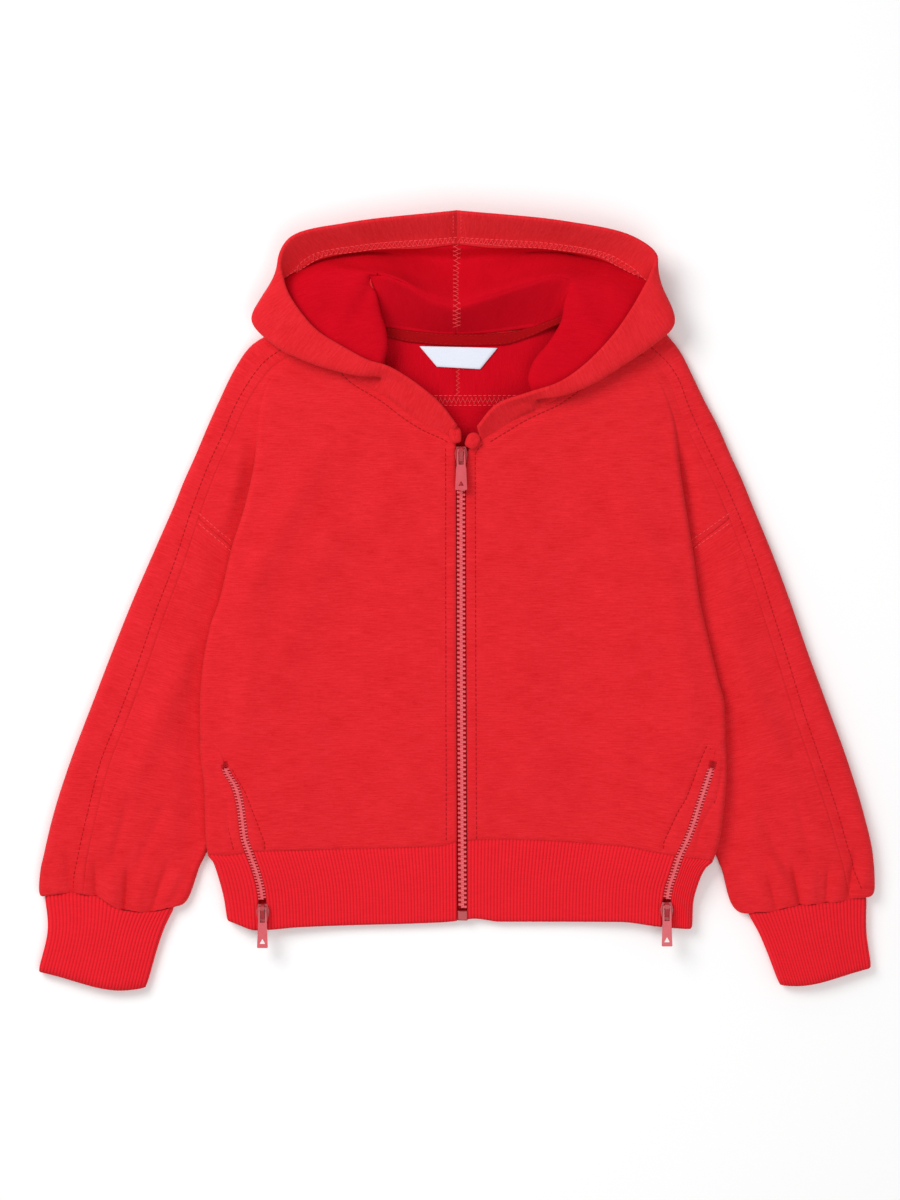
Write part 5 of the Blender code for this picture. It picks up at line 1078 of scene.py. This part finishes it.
# Where the rib lies low it sinks a little more and its colour darkens: painted shade.
lowest = grid[..., 2] < 2.5
ridge[lowest] -= 0.2
piece = shell("hem_back", grid, RIB - 0.4, RIB_FACE, relief=ridge, up=1)
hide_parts("hem_rib_back")
declare(piece, grid, "laid", ["floor"])

# ---------------------------------------------------------------- hood
# Two halves joined at the centre back. The opening lies away from the camera at the front, where the
# band shows its outside, and rolls over at the sides. Its edge is turned in all along.

# Each row: neck seam, inner roll, lobe or valley, outer edge and rim, as t, y, z.
HOOD = {
    "L": [
        ((2.6, 114, 10.2), None, None, None, (1.0, 119, 16)),
        ((23, 124, 10.2), None, None, None, (15.5, 136, 19)),
        ((51, 143, 10.3), None, None, None, (45, 156.5, 21)),
        ((66, 153.5, 10.3), (49, 162, 13.8), (56, 158.5, 16.5), (65, 153, 19.5), (60, 161.5, 23)),
        ((75, 163, 10.3), (47, 173, 14.5), (68, 168, 17.6), (87, 158, 20), (76, 170, 24)),
        ((81.6, 175, 9.3), (48.3, 184.7, 15.1), (82, 177, 18.2), (105, 164.5, 20.5), (93, 180.5, 25)),
        ((77.2, 186, 6.2), (51, 193, 15.5), (86, 192, 18.8), (118, 171, 20.5), (103, 191, 25.5)),
        ((66, 189.6, 3.0), (54, 206, 17), (90, 206, 20), (136, 189, 20.5), (113, 206, 25.5)),
        ((54, 187.4, 1.6), (58, 219, 20.5), (88, 222, 18), (130, 204, 19), (116.5, 216, 25.5)),
        ((42, 185.6, 1.4), (49, 219, 22), (86, 230, 7), (119, 218, 14), (118.5, 229, 25)),
        ((30, 184, 1.2), (35.3, 214.1, 22.5), (62, 236, 2.5), (98, 231, 9), (110, 243.5, 25.5)),
        ((17, 182.9, 1.1), (18, 204, 21), (33, 234, 1.6), (62, 239, 9), (71.5, 253, 26)),
        ((0.1, 182.1, 1.1), (0.1, 199.5, 20), (0.1, 231, 1.6), (0.1, 242, 9), (0.1, 260.8, 26.5)),
    ],
    "R": [
        ((16.5, 111, 10.2), None, None, None, (14.5, 118, 16)),
        ((33, 121.5, 10.2), None, None, None, (27, 132, 19)),
        ((53, 132.5, 10.3), None, None, None, (48, 139.5, 21)),
        ((65, 140.5, 10.4), (48, 151, 13.8), (58, 146.5, 16.5), (69, 139.5, 19.5), (68, 146.5, 23)),
        ((81, 150, 10.3), (52, 163, 14.5), (74, 156, 17.6), (90, 147.5, 20), (85, 158, 24)),
        ((86, 163, 10.3), (61, 174, 15.0), (88, 168, 18.2), (112, 161, 20.5), (104, 177.5, 25)),
        ((87.6, 178, 8.8), (70, 189, 15.5), (95, 187, 18.8), (129, 172.5, 20.5), (117, 196, 25.5)),
        ((75, 189.9, 3.6), (72, 201, 17.5), (97, 203, 20), (144, 187, 20.5), (125, 210, 25.5)),
        ((60.2, 187.3, 1.7), (75.3, 214.8, 19.7), (97, 214, 18), (140, 203, 19), (129.5, 219, 25.5)),
        ((44, 185.8, 1.4), (66, 218, 22), (90, 229, 6), (131, 216, 14), (132.5, 231, 25)),
        ((30, 184, 1.2), (46, 213, 21.5), (62, 236, 2.5), (102, 231, 9), (116, 244, 25.5)),
        ((17, 182.9, 1.1), (24, 206, 21), (34, 234, 1.6), (63, 240, 9), (72, 253.8, 26)),
        ((0.1, 182.1, 1.1), (0.1, 199.5, 20), (0.1, 231, 1.6), (0.1, 242, 9), (0.1, 260.8, 26.5)),
    ],
}
HOOD_TURN, HOOD_HEM, HEM_THICK = 2.3, 27.0, 1.0
# Soft folds of the hood's inside where it faces up: x, y, direction, half length, width, height.
HOOD_FOLDS = [(-30, 212, 158, 26, 4, 1.6), (34, 212, 20, 26, 4, 1.6), (-62, 205, 62, 26, 4, -1.6),
              (-75, 190, 66, 30, 6, 1.3), (88, 190, 118, 30, 6, 1.3), (-45, 228, 172, 26, 5, 1.4),
              (50, 229, 8, 26, 5, 1.4), (14, 222, 80, 14, 4, 1.2), (-95, 205, 80, 20, 5, 1.2),
              (108, 205, 100, 20, 5, 1.2)]
HOOD_SPANS = [10, 3, 3, 8, 8, 3, 3, 10]
RIM_TURN, HEM_POINTS = 6, 9


def rolled(before, place_at, after, radius):
    """Three points where a section turns over: before, at and after the roll's outermost point."""
    into, away = unit((place_at - before)[:2]), unit((after - place_at)[:2])
    doubled = (1 - float(into @ away)) / 2
    return [place_at - np.append(into * radius, radius * doubled), place_at,
            place_at + np.append(away * radius, radius * doubled)]


def hood_section(row):
    """One hood section: neck seam, roll, lobe or valley, outer edge, rim."""
    neck, roll, lobe, edge, rim = [None if point is None else np.array(point, float) for point in row]
    if roll is None:
        points = [neck + (rim - neck) * share for share in (0, 0.25, 0.33, 0.41, 0.5, 0.6, 0.68, 0.76, 1)]
    else:
        points = ([neck] + rolled(neck, roll, lobe, HOOD_TURN) + [lobe]
                  + rolled(lobe, edge, rim, HOOD_TURN) + [rim])
    return through(points, HOOD_SPANS)


hoods = {}
for side, sign in SIDES.items():
    sections = np.array([hood_section(row) for row in HOOD[side]])
    grid = np.stack([through(sections[:, index], [9] * 12) for index in range(sections.shape[1])], axis=1)
    grid[..., 0] *= sign
    edge = fronts[side][:, 0]
    away = np.linalg.norm(grid[:, :1] - edge[None], axis=2)
    nearest = edge[away.argmin(axis=1)]
    target = nearest + unit(grid[:, 0] - nearest) * [0.8, 0.8, 0] + [0, 0, 0.35]
    sewn = (1 - smooth(4.0, 8.0, away.min(axis=1)))[:, None]
    pull = (target - grid[:, 0]) * sewn
    grid += pull[:, None] * np.exp(-(row_lengths(grid) / 7) ** 2)[..., None]
    out = grid_normals(grid) * -sign
    faces_up = smooth(0.1, 0.5, -out[..., 2])
    grid[..., 2] += crease(grid[..., 0], grid[..., 1], HOOD_FOLDS) * faces_up
    out = grid_normals(grid) * -sign
    run = row_lengths(grid)
    band = run[:, -1] - run[:, -1 - HOOD_SPANS[-1]]
    whole_hem = smooth(68, 84, np.arange(len(grid)))
    rolled_over = smooth(14, 22, np.arange(len(grid)))
    reach = run[:, -1] * 0.45 * (1 - rolled_over) + np.minimum(18.0, band * 0.65) * rolled_over
    reach = reach * (1 - whole_hem) + HOOD_HEM * whole_hem
    gap = FLEECE / 2 + HEM_THICK / 2 + 0.12
    rim = []
    for points, away, along, width in zip(grid, out, run, reach):
        ahead = unit(points[-1] - points[-2])
        angle = np.linspace(0, math.pi, RIM_TURN + 1)[1:-1, None]
        round_rim = points[-1] - away[-1] * gap / 2 * (1 - np.cos(angle)) + ahead * gap / 2 * np.sin(angle)
        places = along[-1] - np.linspace(0, width, HEM_POINTS)
        lining = points - away * gap
        inside = np.column_stack([np.interp(places, along, lining[:, axis]) for axis in range(3)])
        rim.append(np.vstack([round_rim, inside]))
    inwards = unit((grid[:, 1] - grid[:, 0]) * [1, 1, 0])
    turned_in = grid[:, 0] - inwards * (0.4 + 2.6 * sewn) - [0, 0, 2.6] * sewn
    whole = np.concatenate([turned_in[:, None], grid, np.array(rim)], axis=1)
    piece = shell(f"hood_half_{side}", whole, FLEECE * 0.86, JERSEY_FACE, up=-sign,
                  inside=JERSEY_INSIDE)
    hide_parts(f"hood_{side}", f"hood_hem_{side}")
    declare(piece, whole, "folded", [f"strip_{side}", f"front_{side}"])
    hoods[side] = (grid, out, run, gap, reach)

# ---------------------------------------------------------------- neck tape and label
# A woven tape covers the seam of hood and yoke inside the back of the neck. A bare white label with
# mitred ends is sewn on under it.

TAPE_FACE = cloth_material("tape_face", (0.40, 0.0015, 0.005), (0.30, 0.0006, 0.003), 0.2, 0.9, 0.0, 0.3,
                           specular=0.1)
LABEL_FACE = cloth_material("label_face", (0.78, 0.84, 0.93), (0.70, 0.76, 0.87), 0.3, 0.5, 0.05, 0.15)
height = FLEECE + 0.35 + 0.6
# The tape's edges: x, upper y, lower y.
TAPE_EDGES = [(-48, 186.2, 180.2), (-31.5, 184, 176.6), (0.7, 181.6, 174.2), (28.8, 182, 174.6),
              (48.9, 186, 180), (63, 190.8, 186), (78, 196.5, 191.5)]
x = np.linspace(-48, 78, 64)
lowest, highest = column(TAPE_EDGES, 0, 2, x), column(TAPE_EDGES, 0, 1, x)
rise = height + 5.5 * smooth(46, 80, x)
tape = np.array([np.column_stack([x, lowest + (highest - lowest) * share,
                                  rise + 0.25 * math.sin(math.pi * share)])
                 for share in np.linspace(0, 1, 5)])
piece = shell("tape_at_neck", tape, 1.0, TAPE_FACE, up=1)
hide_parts("neck_tape")
declare(*strips["L"], "folded", ["floor"], with_pieces=[piece])
declare(*strips["R"], "folded", ["floor"])
share = np.linspace(0, 1, 9)[:, None, None]
left = np.array([-13.5, 160.0]) + (np.array([-25, 173.6]) - [-13.5, 160.0]) * share[..., 0]
right = np.array([15.5, 158.4]) + (np.array([27, 172.4]) - [15.5, 158.4]) * share[..., 0]
label = left[:, None] + (right - left)[:, None] * np.linspace(0, 1, 17)[None, :, None]
lift = 0.35 * np.sin(np.linspace(0, math.pi, 17))[None, :] * np.ones((9, 1))
label = np.concatenate([label, (height - 0.25 + lift)[..., None]], axis=2)
piece = shell("label_at_neck", label, 0.5, LABEL_FACE, up=1)
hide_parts("neck_label")
declare(piece, label, "laid", ["strip_L", "strip_R"])

# ---------------------------------------------------------------- zips
# Moulded plastic chains in a lighter, glossier red: two columns of teeth that lock into one another on
# woven tapes, with sliders whose arch carries a pull tab. The main zip closes to the neck.

ZIP_FACE = speckled("zip_face", (0.62, 0.038, 0.052), (0.80, 0.09, 0.11), 260, 0.32, 0.6)
SLIDER_FACE = speckled("slider_face", (0.36, 0.012, 0.02), (0.46, 0.02, 0.03), 260, 0.3, 0.6)
PULL_FACE = speckled("pull_face", (0.56, 0.050, 0.070), (0.68, 0.085, 0.105), 260, 0.32, 0.6)
CHAIN_THICK, TAPE_THICK = 2.4, 0.8
MAIN_ZIP = [(-217, 3.8), (-150, 3.4), (0, 2.8), (120, 2.7)]
# One side's teeth repeat every MAIN_PITCH or SIDE_PITCH millimetres.
MAIN_PITCH, SIDE_PITCH, BEAD_SIDES, BEAD_OFF = 3.07, 2.05, 8, 2.0


def main_zip_line(rows):
    """The main chain's centre line on the front's top layer."""
    return np.column_stack([column(MAIN_ZIP, 0, 1, rows), rows, column(LAYERS, 0, 1, rows)])


def side_zip_line(side, rows):
    """A side chain's centre line and its across directions, on the body's own sections."""
    points, across = [], []
    for y in rows:
        path, fold_run = loop_path(side, y)
        cut, _ = seam_place(side, y, path, fold_run)
        run = lengths(path)
        near = [[np.interp(cut + step, run, path[:, axis]) for axis in (0, 1)] for step in (-3, 0, 3)]
        spots = place(side, np.array(near), y)
        points.append(spots[1])
        across.append(unit(spots[2] - spots[0]))
    return np.array(points), np.array(across)


def teeth(name, line, across, up, pitch, size, along):
    """Teeth of both columns as one mesh: a rounded block at each half pitch, from either side in turn.

    Each block is an outline of ten points, `size` times as wide across the chain and `along` times as
    long on it, carried up through five layers that draw in towards the top."""
    run = lengths(line)
    places = np.arange(pitch / 2, run[-1] - pitch / 2, pitch / 2)
    ahead = unit(np.gradient(line, axis=0))
    at, a, u, w = [np.column_stack([np.interp(places, run, field[:, axis]) for axis in range(3)])
                   for field in (line, ahead, across, up)]
    turn = np.where(np.arange(len(places)) % 2, 1.0, -1.0)[:, None, None]
    # one tooth: across from its own side to past the middle, along the chain, up
    outline = np.array([(-2.9, 0.48), (-2.6, 0.62), (0.1, 0.62), (0.9, 0.80), (1.15, 0.5)])
    ring = np.vstack([outline, (outline * [1, -1])[::-1]])
    layers = [(0.94, -1.05), (1.0, -0.7), (1.0, 0.55), (0.9, 0.92), (0.6, 1.08)]
    middle = np.array([-0.9, 0])
    shape = np.array([np.column_stack([(ring - middle) * scale + middle, np.full(len(ring), high)])
                      for scale, high in layers]).reshape(-1, 3) * [size, along, 1]
    points = (at[:, None] + u[:, None] * (shape[:, 0] * turn[..., 0])[..., None]
              + a[:, None] * shape[None, :, 1:2] + w[:, None] * shape[None, :, 2:3])
    count = len(ring)
    top = (len(layers) - 1) * count
    caps = np.array([[top + i, top + i + 1, top + count - 2 - i, top + count - 1 - i]
                     for i in range(count // 2 - 1)])
    one = np.vstack([tube_faces(len(layers), count), caps, (caps - top)[:, ::-1]])
    flip = (turn[:, 0, 0] > 0) ^ (np.einsum("ij,ij->i", np.cross(u, a), w) < 0)
    faces = one[None] + (np.arange(len(places)) * len(shape))[:, None, None]
    faces = np.where(flip[:, None, None], faces[:, :, ::-1], faces).reshape(-1, 4)
    made = mesh_piece(name, points.reshape(-1, 3), [faces], ZIP_FACE)
    made.data.set_sharp_from_angle(angle=math.radians(40))
    return made


def bead(name, line, across, up, off):
    """The cord woven into a tape's edge, `off` to one side of the chain: a tube of 8 sides."""
    ring = np.arange(BEAD_SIDES)
    angle = ring * 2 * math.pi / BEAD_SIDES
    centre = line + across * off - up * 0.15
    points = (centre[:, None] + across[:, None] * (0.95 * np.cos(angle))[None, :, None]
              + up[:, None] * (0.85 * np.sin(angle))[None, :, None])
    uv = np.column_stack([np.tile(angle * MM, len(line)), np.repeat(lengths(line) * MM, BEAD_SIDES)])
    last = ring[None] + BEAD_SIDES * (len(line) - 1)
    faces = [tube_faces(len(line), BEAD_SIDES), ring[None, ::-1], last]
    if np.cross(across[0], up[0]) @ (line[1] - line[0]) < 0:
        faces = [part[:, ::-1] for part in faces]
    return mesh_piece(name, points.reshape(-1, 3), faces, TAPE_FACE, uv)


def ups(line, across):
    """Unit directions out of the cloth along a zip line."""
    up = unit(np.cross(across, np.gradient(line, axis=0)))
    return up * np.sign(up[:, 2:3])


depth = FLEECE / 2 + 0.35 + TAPE_THICK / 2 + 0.2
rows = np.linspace(-204, 92, 90)
sideways = np.tile([1.0, 0.0, 0.0], (90, 1))
line = main_zip_line(rows) + np.array([0, 0, -depth + TAPE_THICK / 2 + 0.35 + CHAIN_THICK / 2])
piece = teeth("teeth_main", line, sideways, ups(line, sideways), MAIN_PITCH, 1.0, 1.33)
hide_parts("zip_chain")
for side, sign in SIDES.items():
    bead(f"cord_main_{side}", line, sideways, ups(line, sideways), BEAD_OFF * sign)
for side, sign in SIDES.items():
    line, across = side_zip_line(side, np.linspace(-195.5, -107.5, 50))
    up = ups(line, across)
    lifted = RIB / 2 + 0.35 + TAPE_THICK / 2 + 0.25
    lifted = -lifted + TAPE_THICK / 2 + 0.35 + CHAIN_THICK / 2
    piece = teeth(f"teeth_{side}", line + up * lifted, across, up, SIDE_PITCH, 0.95, 0.95)
    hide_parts(f"side_zip_chain_{side}")
    for edge_name, off in (("inner", -BEAD_OFF), ("outer", BEAD_OFF)):
        bead(f"cord_{side}_{edge_name}", line + up * lifted, across, up, off)

# Rounded ends of the cloth at the top of the main zip: x, y, z, radii across, along and up, turn.
NUBS = {"L": (-1.2, 113.6, 12.2, 4.1, 5.9, 2.7, 0.15), "R": (10.4, 109.6, 12.2, 4.6, 5.6, 2.7, -0.5)}
for side, (x, y, z, wide, long, high, turn) in NUBS.items():
    polar, around = np.meshgrid(np.linspace(0.002, math.pi - 0.002, 22),
                                np.linspace(0, 2 * math.pi, 33)[:-1], indexing="ij")
    blob = np.stack([np.sin(polar) * np.cos(around), np.sin(polar) * np.sin(around), np.cos(polar)], axis=-1)
    blob = np.sign(blob) * np.abs(blob) ** 0.8 * [wide, long, high]
    dent = 1 + 0.05 * np.sin(3 * around + 1) * np.sin(2 * polar) + 0.03 * np.sin(5 * around)
    blob *= dent[..., None]
    c, s = math.cos(turn), math.sin(turn)
    blob = blob @ np.array([[c, s, 0], [-s, c, 0], [0, 0, 1]]) + [x, y, z]
    index = np.arange(22 * 32).reshape(22, 32)
    ahead = np.roll(index, -1, axis=1)
    faces = np.stack([index[:-1], index[1:], ahead[1:], ahead[:-1]], axis=-1).reshape(-1, 4)
    uv = np.stack([around * wide, polar * long], axis=-1).reshape(-1, 2) * MM
    faces = [faces, index[:1], index[-1:, ::-1]]
    piece = mesh_piece(f"nub_{side}", blob.reshape(-1, 3), faces, JERSEY_FACE, uv)
    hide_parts(f"zip_top_{side}")

KEPT_LOOKS = [("tape", TAPE_FACE), ("slider", SLIDER_FACE), ("pull", PULL_FACE), ("box", SLIDER_FACE)]
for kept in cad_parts.values():
    if not kept.hide_render:
        looks = next(face for word, face in KEPT_LOOKS if word in kept.name)
        kept.data.materials.clear()
        kept.data.materials.append(looks)

# ---------------------------------------------------------------- topstitching
# Rows of machine stitches in red thread: single rows beside the seams, two rows at the armholes,
# and zigzag cover stitches on the hood's hem, its centre seam and the yoke. The rows beside the over-arm
# seams, the main zip, the neckline and the side zips, the side zips' bars and the neck tape's rows are in
# dark thread whose darkness is painted shade of the stitch holes and puckers; the rest are in pale thread.

for side, sign in SIDES.items():
    front_top = fronts[side][:, :FRONT_STEPS[0] + 2]
    front_out = grid_normals(fronts[side])[:, :FRONT_STEPS[0] + 2] * sign
    strip = strips[side][1]
    strip_top, strip_out = strip[:, :STRIP_TOP + 2], (grid_normals(strip) * -sign)[:, :STRIP_TOP + 2]
    arm_seam = over_arm_seam(side)
    seam_row = beside(arm_seam, SEAM_INSET * sign)
    stitches(f"stitch_strip_{side}", *laid_on(strip_top, strip_out, FLEECE / 2, seam_row))
    edge = fronts[side][:, 0]
    low, high = edge[edge[:, 1] < 108, :2], edge[edge[:, 1] >= 112, :2]
    zip_row, neck_row = low + [sign * ZIP_INSET[side], 0], beside(high, NECK_INSET * -sign)
    stitches(f"stitch_zip_{side}", *laid_on(front_top, front_out, FLEECE / 2, zip_row))
    stitches(f"stitch_neck_{side}", *laid_on(front_top, front_out, FLEECE / 2, neck_row))
    corner, root = np.array([SLEEVE[side][0][0] * sign, ARMHOLE_Y]), np.array([fold_at(side, 38) * sign, 0])
    root[1] = UNDERARM_Y + (ARMHOLE_Y - UNDERARM_Y) * (abs(root[0]) - 127) / (abs(corner[0]) - 127)
    armhole = np.linspace(corner, root, 40)
    beyond, beyond_out = fronts[side][:, -20:], grid_normals(fronts[side])[:, -20:] * sign
    stitches(f"stitch_armhole_{side}", *laid_on(beyond, beyond_out, FLEECE / 2, armhole + [0, 3.4]),
             thread=THREAD_PALE)
    ring = sleeves[side][:, FOLD_MIDDLE + 4:]
    stitches(f"stitch_under_{side}", *laid_on(ring, grid_normals(sleeves[side])[:, FOLD_MIDDLE + 4:] * -sign,
                                             FLEECE / 2, armhole - [0, 3.4]), thread=THREAD_PALE)

# side zips: a row on either side, and a bar of close stitches where the zip ends
for side, sign in SIDES.items():
    near = fronts[side][fronts[side][:, 0, 1] < -85]
    out = grid_normals(near) * sign
    stitches(f"stitch_pocket_{side}", *laid_on(near, out, FLEECE / 2, np.array(FRONT_ZIP_LINES[side])))
    away = grid_normals(back_grid)
    shows = (back_grid[..., 2] > 7) & (back_grid[..., 1] < -85) & (back_grid[..., 0] * sign > 100)
    near, out = back_grid[shows], away[shows] * np.sign(away[shows][:, 2:])
    stitches(f"stitch_pocket_back_{side}", *laid_on(near, out, FLEECE / 2, np.array(BACK_ZIP_LINES[side])))
    bar, across = side_zip_line(side, np.linspace(-108.5, -104, 12))
    up = ups(bar, across)
    stitches(f"stitch_bar_{side}", bar + up * (FLEECE / 2 + 0.1), up, pitch=0.55, length=5.4, width=0.55,
             lean=86)

# hood: hem rows inside the rim, and the centre seam
for side, sign in SIDES.items():
    grid, out, run, gap, reach = hoods[side]
    for index, down in enumerate((20.5, 26.0)):
        rows = np.flatnonzero(reach > down + 0.8)
        path, away = [], []
        for row in rows:
            spot = run[row, -1] - down
            point = np.array([np.interp(spot, run[row], grid[row, :, axis]) for axis in range(3)])
            normal = unit(np.array([np.interp(spot, run[row], out[row, :, axis]) for axis in range(3)]))
            path.append(point - normal * (gap + HEM_THICK / 2 + 0.3))
            away.append(-normal)
        path, away = np.array(path), np.array(away)
        stitches(f"stitch_hem_{side}_{index}", path, away, thread=THREAD_PALE)
        if index == 0:
            inner = path
    middle = (inner[-len(path):] + path) / 2
    stitches(f"stitch_cover_{side}", middle, away, pitch=1.7, length=5.4, width=0.4, lean=62,
             thread=THREAD_PALE)


# The centre seam: a raised seam, stitched twice over the hem and with a zigzag below it.
crown, crown_out, run, gap, reach = hoods["L"]
along, last = run[-1], run[-1, -1]
for name, spots, offs, lean in (("hem", np.linspace(last - 1, last - 20, 30), (-2.6, 2.6), 0),
                                ("crown", np.linspace(last - 27, 7, 96), (0.0,), 58)):
    points = np.column_stack([np.interp(spots, along, crown[-1, :, axis]) for axis in range(3)])
    away = -unit(np.column_stack([np.interp(spots, along, crown_out[-1, :, axis]) for axis in range(3)]))
    lift = gap + HEM_THICK / 2 + 0.3 if name == "hem" else FLEECE * 0.43 + 0.1
    for index, off in enumerate(offs):
        stitches(f"stitch_{name}_seam_{index}", points + away * lift + [off, 0, 0], away, thread=THREAD_PALE,
                 **(dict(pitch=1.9, length=6.6, width=0.46, lean=lean) if lean else {}))

# Inside the neck: the tape's edges and the yoke's seams.
for index in (0, 4):
    points = tape[index] + [0, 0.8 if index == 0 else -0.8, 0.55]
    stitches(f"stitch_tape_{index}", points, np.tile([0.0, 0, 1], (len(points), 1)), length=2.2)
yoke_seam = np.column_stack([np.full(30, 0.6), np.linspace(170, 139, 30),
                             np.full(30, FLOOR + FLEECE / 2 + 0.1)])
stitches("stitch_yoke_middle", yoke_seam, np.tile([0.0, 0, 1], (30, 1)), pitch=1.5, length=3.4, width=0.32,
         lean=58, thread=THREAD_PALE)
for index, y in enumerate((140.5, 134.0)):
    row = np.column_stack([np.linspace(-62, 62, 60), np.full(60, y), np.full(60, FLOOR + FLEECE / 2 + 0.1)])
    stitches(f"stitch_yoke_{index}", row, np.tile([0.0, 0, 1], (60, 1)), thread=THREAD_PALE)
row = np.column_stack([np.linspace(-62, 62, 60), np.full(60, 137.2), np.full(60, FLOOR + FLEECE / 2 + 0.15)])
stitches("stitch_yoke_cover", row, np.tile([0.0, 0, 1], (60, 1)), pitch=1.5, length=5.2, width=0.32, lean=62,
         thread=THREAD_PALE)
